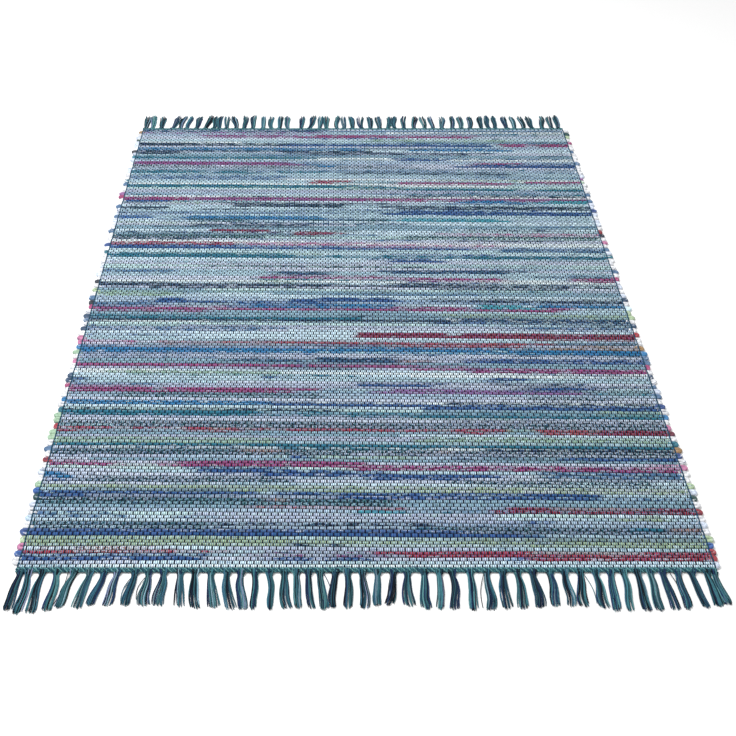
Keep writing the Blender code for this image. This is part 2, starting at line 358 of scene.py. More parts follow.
# Streaks of colour, charted from the front end: (how far along in mm, from and to in mm
# from the centre line, depth in mm, rag, how much of the printed face shows).
STREAKS = (
    (17, -700, 250, 10, "white", 0.55), (15, 220, 700, 10, "ice", 0.5),
    (24, -690, -560, 5, "teal", 0.45), (44, -700, -300, 10, "navy", 0.75),
    (35, -200, -70, 8, "navy", 0.65), (42, -100, 50, 9, "navy", 0.6),
    (42, 270, 370, 9, "blue", 0.6), (62, -700, -430, 9, "red", 0.75),
    (60, -430, -300, 6, "red", 0.5), (67, -600, -470, 5, "orange", 0.5),
    (68, -300, 250, 9, "dove", 0.7), (52, -250, 100, 8, "mauve", 0.33),
    (52, 60, 700, 12, "red", 0.9), (42, 330, 700, 9, "red", 0.8), (58, 300, 560, 4, "orange", 0.5),
    (91, -700, -100, 18, "lime", 0.8), (85, -100, 350, 16, "lime", 0.6),
    (80, 350, 700, 17, "lime", 0.7), (80, -180, -120, 6, "ink", 0.8), (77, -80, -40, 6, "ink", 0.8),
    (111, -700, 330, 13, "navy", 0.95), (113, 320, 700, 12, "slate", 0.85),
    (139, -650, -300, 18, "forest", 0.5), (121, 200, 700, 14, "forest", 0.5),
    (121, 585, 620, 8, "teal", 0.8), (120, 645, 680, 8, "orange", 0.8),
    (167, -700, -500, 14, "slate", 0.5), (175, -60, 60, 8, "turquoise", 0.7),
    (158, -330, 300, 17, "dove", 0.8), (190, -290, 100, 7, "rust", 0.4),
    (171, 300, 700, 6, "crimson", 0.7), (182, 330, 700, 6, "crimson", 0.7),
    (181, 420, 600, 4, "orange", 0.5), (155, 555, 610, 8, "lime", 0.8),
    (212, -700, 100, 14, "forest", 0.6), (212, -225, -165, 7, "orange", 0.6),
    (234, -700, -620, 10, "navy", 0.85), (240, -630, -190, 10, "navy", 0.8),
    (235, -200, 0, 10, "navy", 0.75), (225, -50, 350, 10, "navy", 0.75),
    (223, 340, 500, 10, "navy", 0.9), (255, -700, -300, 10, "lime", 0.6),
    (243, -300, 700, 10, "lime", 0.55), (277, -600, -200, 12, "forest", 0.5),
    (265, 200, 600, 12, "forest", 0.5), (292, -700, -620, 10, "blue", 0.8),
    (305, -390, -190, 15, "navy", 0.8), (296, -210, 60, 10, "navy", 0.75),
    (285, 50, 270, 10, "navy", 0.8), (288, 420, 700, 12, "slate", 0.7),
    (330, -700, -520, 10, "magenta", 0.75), (330, -520, -380, 7, "magenta", 0.5),
    (330, -400, -30, 18, "magenta", 0.85), (311, -60, 700, 11, "magenta", 0.7),
    (315, 600, 700, 10, "pink", 0.8), (352, -200, -100, 6, "navy", 0.8),
    (345, 450, 700, 7, "navy", 0.85), (370, -700, 0, 16, "forest", 0.55),
    (365, 0, 700, 16, "forest", 0.5), (370, -230, -190, 6, "orange", 0.8),
    (366, 150, 190, 6, "orange", 0.8), (398, -700, -250, 11, "teal", 0.8),
    (390, -250, 200, 12, "teal", 0.85), (385, 200, 700, 12, "teal", 0.9),
    (372, 250, 700, 6, "ink", 0.7), (412, -700, -200, 9, "sage", 0.7),
    (453, -700, -600, 9, "red", 0.8), (454, -600, -400, 8, "crimson", 0.5),
    (453, -420, -300, 12, "red", 0.85), (452, -280, -100, 8, "crimson", 0.5),
    (456, -320, -280, 6, "orange", 0.6), (450, -110, 60, 9, "red", 0.75),
    (446, 80, 180, 9, "red", 0.6), (442, 230, 340, 10, "red", 0.8),
    (439, 400, 560, 10, "rust", 0.8), (434, 560, 700, 11, "crimson", 0.9),
    (408, 150, 700, 15, "sage", 0.55), (463, -700, 700, 14, "forest", 0.45),
    (512, -700, -200, 13, "teal", 0.9), (502, -200, 150, 10, "teal", 0.5),
    (495, 150, 700, 10, "teal", 0.75), (550, -700, -200, 11, "blue", 0.75),
    (540, -250, 150, 11, "navy", 0.8), (528, 150, 700, 10, "navy", 0.75),
    (605, -700, -500, 13, "magenta", 0.9), (600, -500, -130, 12, "magenta", 0.85),
    (590, 50, 500, 10, "purple", 0.75), (617, -10, 200, 9, "navy", 0.8),
    (600, 380, 550, 9, "navy", 0.8), (580, -600, -100, 10, "forest", 0.45),
    (562, 400, 600, 10, "forest", 0.45), (640, -700, -650, 8, "navy", 0.8),
    (650, -250, -195, 8, "navy", 0.8), (638, 300, 380, 8, "navy", 0.8),
    (670, -600, -200, 10, "sage", 0.6), (700, -650, -180, 10, "magenta", 0.75),
    (697, -140, 120, 10, "magenta", 0.7), (685, 120, 320, 10, "magenta", 0.7),
    (674, 300, 620, 10, "magenta", 0.75), (669, 580, 700, 11, "magenta", 0.9),
    (722, -330, -140, 9, "navyslate", 0.6), (720, -130, 120, 10, "navyslate", 0.85),
    (712, 250, 700, 11, "navy", 0.65), (712, 100, 140, 7, "orange", 0.7),
    (767, -700, -100, 17, "blue", 0.85), (760, -100, 350, 17, "blue", 0.8),
    (753, 350, 700, 17, "blue", 0.85), (795, -250, 100, 10, "rust", 0.75),
    (786, 80, 450, 10, "rust", 0.75), (795, -520, -250, 8, "rust", 0.4),
    (770, 500, 700, 9, "ochre", 0.6), (803, -700, -580, 9, "pink", 0.8),
    (829, -40, 260, 15, "crimson", 0.97), (823, 220, 490, 18, "crimson", 1),
    (817, 450, 700, 20, "crimson", 1), (860, -700, -200, 10, "slate", 0.55),
    (857, 400, 700, 10, "slate", 0.55), (905, -700, 0, 11, "teal", 0.8),
    (896, -700, 250, 8, "ink", 0.8), (891, 250, 700, 9, "navyslate", 0.75),
    (914, -700, -400, 9, "teal", 0.6), (915, 200, 700, 10, "lime", 0.45),
    (953, -700, -380, 12, "magenta", 0.9), (953, -420, -200, 10, "magenta", 0.65),
    (951, -200, 120, 10, "magenta", 0.8), (948, 120, 300, 10, "magenta", 0.8),
    (943, 330, 560, 10, "magenta", 0.75), (966, -350, 100, 10, "blue", 0.7),
    (982, -560, -100, 9, "navy", 0.6), (960, 290, 450, 10, "turquoise", 0.8),
    (960, 450, 700, 10, "blue", 0.7), (993, -570, -450, 10, "navy", 0.85),
    (993, -150, 100, 10, "navy", 0.8), (975, -700, -550, 10, "slate", 0.7),
    (985, 200, 700, 10, "ink", 0.6), (1025, -700, -480, 14, "sage", 0.65),
    (1072, -700, -560, 11, "ink", 0.75), (1066, -600, -60, 14, "ink", 0.65),
    (1065, 60, 330, 12, "ink", 0.7), (1058, 330, 700, 10, "ink", 0.5),
    (1105, -270, 150, 10, "magenta", 0.55), (1095, 150, 400, 10, "magenta", 0.6),
    (1090, 600, 700, 10, "magenta", 0.75), (1125, -250, -100, 10, "navyslate", 0.75),
    (1132, 50, 450, 10, "navyslate", 0.8), (1140, -700, -500, 10, "slate", 0.7),
    (1190, 50, 250, 10, "navy", 0.8), (1222, -700, -150, 18, "teal", 0.85),
    (1214, -150, 300, 10, "teal", 0.5), (1205, 300, 700, 11, "teal", 0.75),
    (1242, -700, 700, 8, "mint", 0.4), (1268, -700, -300, 11, "navy", 0.85),
    (1260, -300, 300, 10, "navy", 0.6), (1245, 400, 700, 10, "slate", 0.7),
    (1290, -700, -300, 9, "red", 0.6), (1283, -300, 0, 9, "pink", 0.7),
    (1275, 0, 400, 9, "pink", 0.6), (1328, -650, -300, 10, "forest", 0.6),
    (1320, 100, 700, 10, "forest", 0.6), (1362, -380, -250, 10, "crimson", 0.85),
    (1345, -180, -50, 10, "crimson", 0.7), (1335, 500, 600, 10, "crimson", 0.8),
    (1337, 200, 700, 9, "pink", 0.5), (1425, -500, -300, 10, "forest", 0.65),
    (1425, -200, -100, 10, "forest", 0.55), (1420, 0, 110, 10, "forest", 0.6),
    (1440, -700, -600, 10, "royal", 0.8), (1437, -500, -100, 9, "blue", 0.7),
    (1418, 150, 450, 10, "turquoise", 0.75), (1392, -500, -100, 6, "ink", 0.6),
    (1460, 100, 700, 10, "navy", 0.8), (1500, -700, -600, 10, "ink", 0.75),
    (1510, -350, 0, 10, "ink", 0.7), (1495, 100, 700, 10, "ink", 0.65),
    (1555, -700, -500, 11, "magenta", 0.85), (1553, -520, 100, 11, "mauve", 0.8),
    (1545, 80, 260, 10, "magenta", 0.7), (1545, 240, 700, 10, "mauve", 0.7),
    (1540, -700, -570, 9, "navy", 0.8), (1532, 300, 500, 9, "blue", 0.7),
    (1530, 550, 650, 9, "turquoise", 0.8), (1635, -700, 0, 11, "teal", 0.75),
    (1625, 0, 150, 10, "teal", 0.6), (1610, 200, 500, 10, "teal", 0.7),
    (1605, 600, 700, 10, "teal", 0.75), (1660, -110, -50, 10, "red", 0.8),
    (1652, 100, 450, 10, "magenta", 0.65), (1655, 550, 700, 10, "magenta", 0.75),
    (1687, -650, -200, 14, "slate", 0.45), (1715, 0, 500, 9, "ink", 0.5),
    (1730, -650, -500, 10, "teal", 0.65), (1730, -450, -300, 10, "teal", 0.6),
    (1727, -200, -100, 10, "teal", 0.6), (1770, -150, -100, 9, "blue", 0.9),
    (1783, -650, -100, 10, "slate", 0.65), (1790, -680, -200, 12, "mauve", 0.75),
    (1778, 350, 500, 10, "magenta", 0.65), (1765, 350, 700, 10, "navy", 0.75),
    (1825, -700, -150, 11, "teal", 0.75), (1812, 100, 250, 10, "navy", 0.75),
    (1862, -700, -550, 7, "ink", 0.7), (1855, -200, 400, 7, "ink", 0.6),
    (1888, -700, 0, 10, "blue", 0.6), (1874, -700, 100, 8, "ink", 0.6),
    (1880, 200, 500, 10, "blue", 0.65), (1925, -700, -520, 11, "ink", 0.85),
    (1922, -520, -150, 10, "ink", 0.6), (1915, -200, 420, 11, "navy", 0.75),
    (1912, 450, 600, 10, "magenta", 0.65), (1912, 590, 700, 11, "magenta", 0.9),
    (1950, 50, 500, 10, "sage", 0.5), (1984, -500, -150, 9, "mauve", 0.6),
    (1982, -170, 100, 10, "magenta", 0.8), (1977, 80, 400, 10, "magenta", 0.7),
    (2010, -700, -150, 9, "purple", 0.45), (2026, -700, -60, 9, "navyslate", 0.55),
    (2020, -60, 700, 6, "slate", 0.5),
)

# What the chart's own readings need, in mm. They run long past STEADY_TO. All lie a little too
# far back, the more so the further they are, because the crowns stand above the floor. Streaks
# that aren't BROAD read too thin, as do those past FAR_FROM, and those past FAINT_FROM too faint.
STEADY_TO = 300
FAR_STRETCH = 0.985
READ_HIGH = 6
READ_HIGH_SHARE = 0.006
THIN = 8
THIN_MORE = 1
BROAD = 16
NARROW_MORE = 3
FAR_FROM = 900
FAR_MORE = 2
FAINT_FROM = 1250
FAINT_GAIN = 1.1

# How strongly a rag's printed face shows against the chart, where it isn't USUAL_SHOW.
USUAL_SHOW = 1.02
RAG_SHOW = {"pink": 0.7, "orange": 0.75, "magenta": 0.96, "red": 0.93}

# How a streak is laid. The chart starts at the front edge of the heading. A streak fades in and
# out over STREAK_FADE, at ends that are ragged by up to RAGGED_END from pick to pick, unless it
# runs on to the selvedge, as one does whose end is TO_SELVEDGE mm from the centre line. Over the
# middle of its depth it covers a pick in full, and COVERING says how soon. A pick that it only
# touches shows it by THIN_SHOW of its strength. It tints the rags' backs as well.
CHART_START = FRONT_END - HEADING_DEPTH
STREAK_FADE = 60 * MM
RAGGED_END = 45 * MM
RAGGED_SEED = 9000
TO_SELVEDGE = 650
COVERING = 2.0
THIN_SHOW = 0.55
BACK_TINT = 0.30
FLECKED = ("forest", "orange")

# The ground under the streaks: how dark a pale rag's printed face is, how much of it shows, and
# the length of each rag in widths of the cloth.
GROUND_FACE = 0.72
GROUND_COVER = 0.25
GROUND_RUN = (0.5, 2.2)

# Faint streaks laid at random before the charted ones: how many, their rags, and the range of
# their left end, length, depth (in mm) and strength.
FAINT_STREAKS = 270
FAINT_RAGS = ("slate", "navyslate", "teal", "stone", "slate", "ink", "forest", "navy", "sage")
FAINT_LEFT = (-900, 600)
FAINT_LENGTH = (150, 700)
FAINT_DEPTH = (3, 9)
FAINT_SHOWN = (0.35, 0.62)


def ground_colours():
    """The pale rags in turn along the one weft, which runs to and fro: each is a random
    length of half a width to two widths."""
    source = np.random.default_rng(21)
    ends = np.cumsum(source.uniform(*GROUND_RUN, PICKS))
    share = np.linspace(0, 1, COLUMNS + 1)[None, :]
    pick = np.arange(PICKS)[:, None]
    run = pick + np.where(pick % 2 == 0, share, 1 - share)
    rag = np.searchsorted(ends, run)
    order = source.integers(0, len(GROUND), len(ends) + 1)
    table = np.array([RAG_FACES[name] for name in GROUND])
    return table[order[rag]]


def corrected(streak):
    """A charted streak with its place, depth and strength corrected."""
    read, left, right, depth, rag, shown = streak
    along = read if read <= STEADY_TO else STEADY_TO + (read - STEADY_TO) * FAR_STRETCH
    along -= READ_HIGH + READ_HIGH_SHARE * along
    if depth <= THIN:
        depth += THIN_MORE
    elif depth < BROAD:
        depth += NARROW_MORE
    depth += FAR_MORE if along > FAR_FROM else 0
    shown *= RAG_SHOW.get(rag, USUAL_SHOW) * (FAINT_GAIN if along > FAINT_FROM else 1.0)
    return along, left, right, depth, rag, min(1.0, shown)


def lay_streak(face, back, cover, fleck, streak):
    """Lays one streak over the colours, in place: a pick takes it by how much of the streak's
    depth lies on that pick, and it fades in and out over a short length at its ends."""
    along, left, right, depth, rag, shown = streak
    middle = np.clip(int(((left + right) / 2 * MM + WIDTH / 2) / WIDTH * COLUMNS), 0, COLUMNS)
    height = 0.5 * (VALLEYS[1:, middle] + VALLEYS[:-1, middle])
    target = CHART_START + along * MM
    reach = (0.5 * depth * MM + 0.5 * PITCH - np.abs(height - target)) / PITCH
    share = np.clip(reach, 0, 1)[:, None]
    source = np.random.default_rng(int(RAGGED_SEED + 5 * along + left))
    ragged = RAGGED_END * source.uniform(-1, 1, (2, PICKS, 1))
    from_left = (COLUMN_X[None, :] - left * MM + ragged[0]) / STREAK_FADE + 0.5
    from_right = (right * MM - COLUMN_X[None, :] + ragged[1]) / STREAK_FADE + 0.5
    from_left = from_left if left > -TO_SELVEDGE else 1.0
    from_right = from_right if right < TO_SELVEDGE else 1.0
    fade = eased(np.clip(np.minimum(from_left, from_right), 0, 1))
    weight = share * fade
    taken = np.clip(COVERING * weight, 0, 1)
    face += taken[..., None] * (RAG_FACES[rag] - face)
    back += (BACK_TINT * taken)[..., None] * (RAG_FACES[rag] - back)
    cover += taken * (shown * (THIN_SHOW + (1 - THIN_SHOW) * weight) - cover)
    fleck += taken * ((rag in FLECKED) - fleck)


def weft_colours():
    """(printed face, pale back, share of the face that shows, and 1 where its print is in small
    flecks), for each pick and column."""
    back = ground_colours()
    face = back * GROUND_FACE
    cover = np.full((PICKS, COLUMNS + 1), GROUND_COVER)
    fleck = np.zeros((PICKS, COLUMNS + 1))
    source = np.random.default_rng(22)
    for _ in range(FAINT_STREAKS):
        left = source.uniform(*FAINT_LEFT)
        along = source.uniform(0, CLOTH_LENGTH / MM)
        right = left + source.uniform(*FAINT_LENGTH)
        depth = source.uniform(*FAINT_DEPTH)
        rag = FAINT_RAGS[source.integers(len(FAINT_RAGS))]
        faint = (along, left, right, depth, rag, source.uniform(*FAINT_SHOWN))
        lay_streak(face, back, cover, fleck, faint)
    for streak in STREAKS:
        lay_streak(face, back, cover, fleck, corrected(streak))
    return face, back, np.clip(cover, 0, 1), fleck


FACE, BACK, COVER, FLECK = weft_colours()


# ---------------------------------------------------------------- node groups

def new_group(name, inputs, outputs):
    """An empty shader node group with named sockets, and its two end nodes."""
    group = bpy.data.node_groups.new(name, "ShaderNodeTree")
    for label, kind, default in inputs:
        socket = group.interface.new_socket(label, in_out="INPUT", socket_type=kind)
        if default is not None:
            socket.default_value = default
    for label, kind in outputs:
        group.interface.new_socket(label, in_out="OUTPUT", socket_type=kind)
    return group, group.nodes.new("NodeGroupInput"), group.nodes.new("NodeGroupOutput")


class Wiring:
    """Short ways to add nodes to one tree. A value is a number, a colour or another socket."""

    def __init__(self, tree):
        self.tree = tree

    def put(self, value, socket):
        """Links a socket to another, or sets it to a plain value."""
        if isinstance(value, bpy.types.NodeSocket):
            self.tree.links.new(value, socket)
        else:
            socket.default_value = value

    def math(self, operation, *values):
        """One sum on numbers."""
        node = self.tree.nodes.new("ShaderNodeMath")
        node.operation = operation
        for value, socket in zip(values, node.inputs):
            self.put(value, socket)
        return node.outputs[0]

    def mix(self, share, first, second, kind="FLOAT", mode="MIX"):
        """From the first number to the second by share, or between colours where kind says so."""
        node = self.tree.nodes.new("ShaderNodeMix")
        node.data_type = kind
        node.blend_type = mode
        self.put(share, node.inputs["Factor"])
        self.put(first, node.inputs["A"])
        self.put(second, node.inputs["B"])
        return node.outputs["Result"]

    def blend(self, share, first, second):
        """From the first colour to the second by share."""
        return self.mix(share, first, second, "RGBA")

    def shaded(self, colour, light):
        """A colour multiplied by a number."""
        grey = self.vector(light, light, light)
        return self.mix(1.0, colour, grey, "RGBA", "MULTIPLY")

    def ramp(self, value, low, high, to_low=0.0, to_high=1.0):
        """A smooth step from to_low to to_high, as the number goes from low to high."""
        node = self.tree.nodes.new("ShaderNodeMapRange")
        node.interpolation_type = "SMOOTHSTEP"
        self.put(value, node.inputs["Value"])
        self.put(low, node.inputs["From Min"])
        self.put(high, node.inputs["From Max"])
        self.put(to_low, node.inputs["To Min"])
        self.put(to_high, node.inputs["To Max"])
        return node.outputs["Result"]

    def vector(self, x, y, z=0.0):
        """Three numbers as one vector."""
        node = self.tree.nodes.new("ShaderNodeCombineXYZ")
        for value, socket in zip((x, y, z), node.inputs):
            self.put(value, socket)
        return node.outputs[0]

    def noise(self, place, detail=2.0, roughness=0.5):
        """Noise from 0 to 1 whose blotches are about one unit across."""
        node = self.tree.nodes.new("ShaderNodeTexNoise")
        self.put(place, node.inputs["Vector"])
        self.put(1.0, node.inputs["Scale"])
        self.put(detail, node.inputs["Detail"])
        self.put(roughness, node.inputs["Roughness"])
        return node.outputs["Fac"]

    def stretched_noise(self, x, x_scale, y, y_scale, layer=0.0, **looks):
        """Noise over x and y, each times its own scale. Each layer is another pattern."""
        across = self.math("MULTIPLY", x, x_scale)
        along = self.math("MULTIPLY", y, y_scale)
        return self.noise(self.vector(across, along, layer), **looks)

    def parts(self, vector):
        """The three numbers of a vector."""
        node = self.tree.nodes.new("ShaderNodeSeparateXYZ")
        self.put(vector, node.inputs[0])
        return node.outputs

    def group(self, group, **values):
        """A node group with these values on its inputs."""
        node = self.tree.nodes.new("ShaderNodeGroup")
        node.node_tree = group
        for label, value in values.items():
            self.put(value, node.inputs[label])
        return node.outputs


# The painted shade in the folds of a rolled rag, then the colours of the warp ends.
FOLD_PAINTED_SHADE = opaque(34, 62, 96)
FINE_ENDS = (opaque(54, 98, 120), opaque(76, 106, 148))
DARK_END = opaque(6, 18, 42)


def make_rag_group():
    """A rolled rag: long streaks of noise along the pick decide where its printed face shows
    and where its pale back does, with painted shade, a dark line, along some of the folds between
    them, and cloudy shading. Each pick reads a lane of its own, so no two are alike. A flecked
    rag's face shows in short blotches instead."""
    group, start, end = new_group(
        "rolled rag",
        [("Weave", "NodeSocketVector", None), ("Face", "NodeSocketColor", None),
         ("Back", "NodeSocketColor", None), ("Cover", "NodeSocketFloat", 0.5),
         ("Fleck", "NodeSocketFloat", 0.0)],
        [("Colour", "NodeSocketColor"), ("Height", "NodeSocketFloat")],
    )
    w = Wiring(group)
    unit, pick, _ = w.parts(start.outputs["Weave"])
    row = w.math("FLOOR", pick)
    lane = w.math("ADD", w.math("MULTIPLY", pick, 1.7), w.math("MULTIPLY", row, 7.31))
    streaks = w.stretched_noise(unit, 0.42, lane, 1.0, detail=3.0, roughness=0.62)
    flecks = w.stretched_noise(unit, 2.3, lane, 1.9, roughness=0.6)
    mixed = w.math("ADD", w.math("MULTIPLY", streaks, 0.72), w.math("MULTIPLY", flecks, 0.28))
    prints = w.stretched_noise(unit, 2.7, lane, 1.3, layer=5.0, roughness=0.55)
    mixed = w.mix(start.outputs["Fleck"], mixed, prints)
    level = w.ramp(mixed, 0.30, 0.70)
    gap = w.math("SUBTRACT", start.outputs["Cover"], level)
    shown = w.ramp(gap, -0.10, 0.10)
    colour = w.blend(shown, start.outputs["Back"], start.outputs["Face"])
    # Painted shade: thin dark lines along some folds of the rolled rag stand in for the shadow in
    # their creases.
    folds = w.stretched_noise(unit, 0.23, lane, 1.6, layer=8.0, roughness=0.6)
    fold = w.ramp(folds, 0.61, 0.67, 0.0, 0.75)
    colour = w.blend(fold, colour, FOLD_PAINTED_SHADE)
    clouds = w.stretched_noise(unit, 0.9, row, 1.0, layer=3.0, detail=3.0, roughness=0.65)
    cloudy = w.ramp(clouds, 0.3, 0.7, 0.72, 1.14)
    cloudy = w.math("MULTIPLY", cloudy, w.ramp(prints, 0.35, 0.65, 0.80, 1.12))
    w.put(w.shaded(colour, cloudy), end.inputs["Colour"])
    w.put(w.math("ADD", w.math("MULTIPLY", streaks, 0.6), w.math("MULTIPLY", flecks, 0.4)),
          end.inputs["Height"])
    return group


def make_ends_group():
    """The warp over the weft. Of the six ends in a unit, three pass over each pick: one dark one
    and two fine ones, a third of a unit apart, each a band with soft edges. The next pick is
    half a unit aside. The rag bulges between them, as half a sine."""
    group, start, end = new_group(
        "warp ends",
        [("Weave", "NodeSocketVector", None), ("Dark width", "NodeSocketFloat", 0.100),
         ("Fine width", "NodeSocketFloat", 0.054)],
        [("Dark", "NodeSocketFloat"), ("Fine", "NodeSocketFloat"), ("Bulge", "NodeSocketFloat"),
         ("End number", "NodeSocketFloat")],
    )
    w = Wiring(group)
    unit, pick, _ = w.parts(start.outputs["Weave"])
    row = w.math("FLOOR", pick)
    aside = w.math("MULTIPLY", w.math("MODULO", row, 2.0), 0.5)
    waver = w.stretched_noise(unit, 1.1, pick, 0.45)
    waver = w.math("MULTIPLY", w.math("SUBTRACT", waver, 0.5), 0.10)
    place = w.math("ADD", w.math("ADD", unit, aside), waver)
    share = w.math("FRACT", place)
    from_dark = w.math("MINIMUM", share, w.math("SUBTRACT", 1.0, share))
    dark = w.ramp(from_dark, start.outputs["Dark width"],
                  w.math("ADD", start.outputs["Dark width"], 0.03), 1.0, 0.0)
    thirds = w.math("MULTIPLY", place, 3.0)
    third = w.math("FRACT", thirds)
    from_fine = w.math("DIVIDE", w.math("MINIMUM", third, w.math("SUBTRACT", 1.0, third)), 3.0)
    fine = w.ramp(from_fine, start.outputs["Fine width"],
                  w.math("ADD", start.outputs["Fine width"], 0.025), 1.0, 0.0)
    fine = w.math("MULTIPLY", fine, w.math("SUBTRACT", 1.0, dark))
    bulge = w.math("SINE", w.math("MULTIPLY", third, math.pi))
    w.put(dark, end.inputs["Dark"])
    w.put(fine, end.inputs["Fine"])
    w.put(bulge, end.inputs["Bulge"])
    w.put(w.math("ROUND", thirds), end.inputs["End number"])
    return group


def make_yarn_group():
    """A plied yarn: slanting ridges that run round it as they run along it, with fine fibres. Its
    colour has painted light and shade: lighter on the crowns of the ridges, darker between them.
    """
    group, start, end = new_group(
        "plied yarn",
        [("Yarn", "NodeSocketVector", None), ("Colour", "NodeSocketColor", None),
         ("Lay", "NodeSocketFloat", 3.2)],
        [("Colour", "NodeSocketColor"), ("Height", "NodeSocketFloat")],
    )
    w = Wiring(group)
    turn, run, _ = w.parts(start.outputs["Yarn"])
    wind = w.math("ADD", w.math("MULTIPLY", turn, 2.0), w.math("DIVIDE", run, start.outputs["Lay"]))
    ply = w.math("ABSOLUTE", w.math("SINE", w.math("MULTIPLY", wind, math.pi)))
    fibre = w.stretched_noise(wind, 9.0, run, 0.35, roughness=0.6)
    mottle = w.stretched_noise(run, 0.09, turn, 1.0, layer=2.0)
    # Painted light and shade: the colour is lighter on the crowns of the plies and darker in the
    # grooves between them; the fibres and the mottle add a random tone.
    light = w.math("ADD", w.math("MULTIPLY", ply, 0.55), w.math("MULTIPLY", fibre, 0.5))
    light = w.math("ADD", w.math("MULTIPLY", mottle, 0.35), light)
    light = w.ramp(light, 0.3, 1.2, 0.5, 1.45)
    w.put(w.shaded(start.outputs["Colour"], light), end.inputs["Colour"])
    w.put(w.math("ADD", ply, w.math("MULTIPLY", fibre, 0.35)), end.inputs["Height"])
    return group


# ---------------------------------------------------------------- materials

def new_material(name, roughness, sheen):
    """A material with a Principled shader, its plain numbers set on the shader's own sockets."""
    material = bpy.data.materials.new(name)
    material.use_nodes = True
    shader = material.node_tree.nodes["Principled BSDF"]
    shader.inputs["Roughness"].default_value = roughness
    shader.inputs["Sheen Weight"].default_value = sheen
    shader.inputs["Sheen Roughness"].default_value = 0.6
    shader.inputs["Specular IOR Level"].default_value = 0.12
    return material, shader, Wiring(material.node_tree)


def read_uv(w, name):
    """The place in one of the piece's own maps."""
    node = w.tree.nodes.new("ShaderNodeUVMap")
    node.uv_map = name
    return node.outputs["UV"]


def read_attribute(w, name, output):
    """What the piece's corners hold under a name."""
    node = w.tree.nodes.new("ShaderNodeAttribute")
    node.attribute_name = name
    return node.outputs[output]


def add_bump(w, shader, height, distance):
    """Fine relief that is finer than the mesh: a height from 0 to 1, times distance."""
    node = w.tree.nodes.new("ShaderNodeBump")
    node.inputs["Strength"].default_value = 1.0
    node.inputs["Distance"].default_value = distance
    w.put(height, node.inputs["Height"])
    w.put(node.outputs["Normal"], shader.inputs["Normal"])


def read_rag(w, rag_group, weave):
    """The rolled rag at a place in the weave, in the colours that the piece's corners hold."""
    return w.group(rag_group, Weave=weave, Face=read_attribute(w, "face", "Color"),
                   Back=read_attribute(w, "back", "Color"),
                   Cover=read_attribute(w, "cover", "Fac"),
                   Fleck=read_attribute(w, "fleck", "Fac"))


def make_weave_material(rag_group, ends_group):
    """The cloth: rag weft under the dark and the fine warp ends, with painted shade that darkens it
    towards the valleys between picks. Each fine end has its own mix of two blues."""
    material, shader, w = new_material("rag_weave", roughness=0.85, sheen=0.02)
    weave = read_uv(w, "weave")
    rag = read_rag(w, rag_group, weave)
    ends = w.group(ends_group, Weave=weave)
    tint = w.noise(w.vector(w.math("MULTIPLY", ends["End number"], 1.37), 0.5), detail=0.0)
    fine_colour = w.blend(w.ramp(tint, 0.40, 0.60), *FINE_ENDS)
    # Painted shade: the colour darkens towards each valley between picks, to 0.38 of itself at the
    # valley.
    valley = w.math("FRACT", w.parts(weave)[1])
    rise = w.math("SINE", w.math("MULTIPLY", valley, math.pi))
    shade = w.ramp(rise, 0.0, 0.75, 0.38, 1.0)
    colour = w.blend(w.math("MULTIPLY", ends["Fine"], 0.84), rag["Colour"], fine_colour)
    colour = w.blend(ends["Dark"], colour, DARK_END)
    w.put(w.shaded(colour, shade), shader.inputs["Base Color"])
    height = w.math("ADD", w.math("MULTIPLY", ends["Bulge"], 0.8),
                    w.math("MULTIPLY", rag["Height"], 0.9))
    height = w.math("SUBTRACT", height, w.math("MULTIPLY", ends["Dark"], 0.6))
    add_bump(w, shader, height, 1.1 * MM)
    return material


def make_turn_material(rag_group):
    """The weft where it turns back past the outer warp, with no ends over it."""
    material, shader, w = new_material("rag_turns", roughness=0.88, sheen=0.03)
    rag = read_rag(w, rag_group, read_uv(w, "weave"))
    w.put(rag["Colour"], shader.inputs["Base Color"])
    add_bump(w, shader, rag["Height"], 1.6 * MM)
    return material


def make_yarn_material(name, yarn_group, lay, depth):
    """Plied cotton yarn whose colour comes with each strand."""
    material, shader, w = new_material(name, roughness=0.85, sheen=0.02)
    yarn = w.group(yarn_group, Yarn=read_uv(w, "yarn"),
                   Colour=read_attribute(w, "strand", "Color"), Lay=lay)
    w.put(yarn["Colour"], shader.inputs["Base Color"])
    add_bump(w, shader, yarn["Height"], depth)
    return material


RAG_GROUP = make_rag_group()
ENDS_GROUP = make_ends_group()
YARN_GROUP = make_yarn_group()
WEAVE_LOOK = make_weave_material(RAG_GROUP, ENDS_GROUP)
TURN_LOOK = make_turn_material(RAG_GROUP)
HEADING_LOOK = make_yarn_material("heading_yarn", YARN_GROUP, lay=5.5, depth=0.5 * MM)
FRINGE_LOOK = make_yarn_material("fringe_yarn", YARN_GROUP, lay=3.4, depth=0.25 * MM)


# ---------------------------------------------------------------- the woven cloth

def cloth_heights():
    """(crown of each pick at each column, height of each valley at each column): the usual
    height with some scatter, and a crown is lower where a dark end pinches it."""
    lump = CROWN_SCATTER * scatter(PICKS, COLUMNS + 1, row_cell=1, column_cell=2, seed=31)
    swell = CROWN_SCATTER * scatter(PICKS, COLUMNS + 1, row_cell=1, column_cell=17, seed=32)
    crown = CROWN - CROWN_ALLOWANCE + lump + swell - PINCH * over_dark_end()
    uneven = scatter(PICKS + 1, COLUMNS + 1, row_cell=1, column_cell=5, seed=33)
    valley = VALLEY + VALLEY_SCATTER * uneven
    return crown, valley


CROWNS, VALLEY_HEIGHTS = cloth_heights()


def across_picks(low_values, high_values, share):
    """Values on the lines across each pick, from its front valley to its back one by share,
    joined so that neighbouring picks have one line between them."""
    lines = low_values[:, None] + share[None, :, None] * (high_values - low_values)[:, None]
    lines = lines[:, :-1].reshape(-1, low_values.shape[1])
    return np.concatenate((lines, high_values[-1:]))


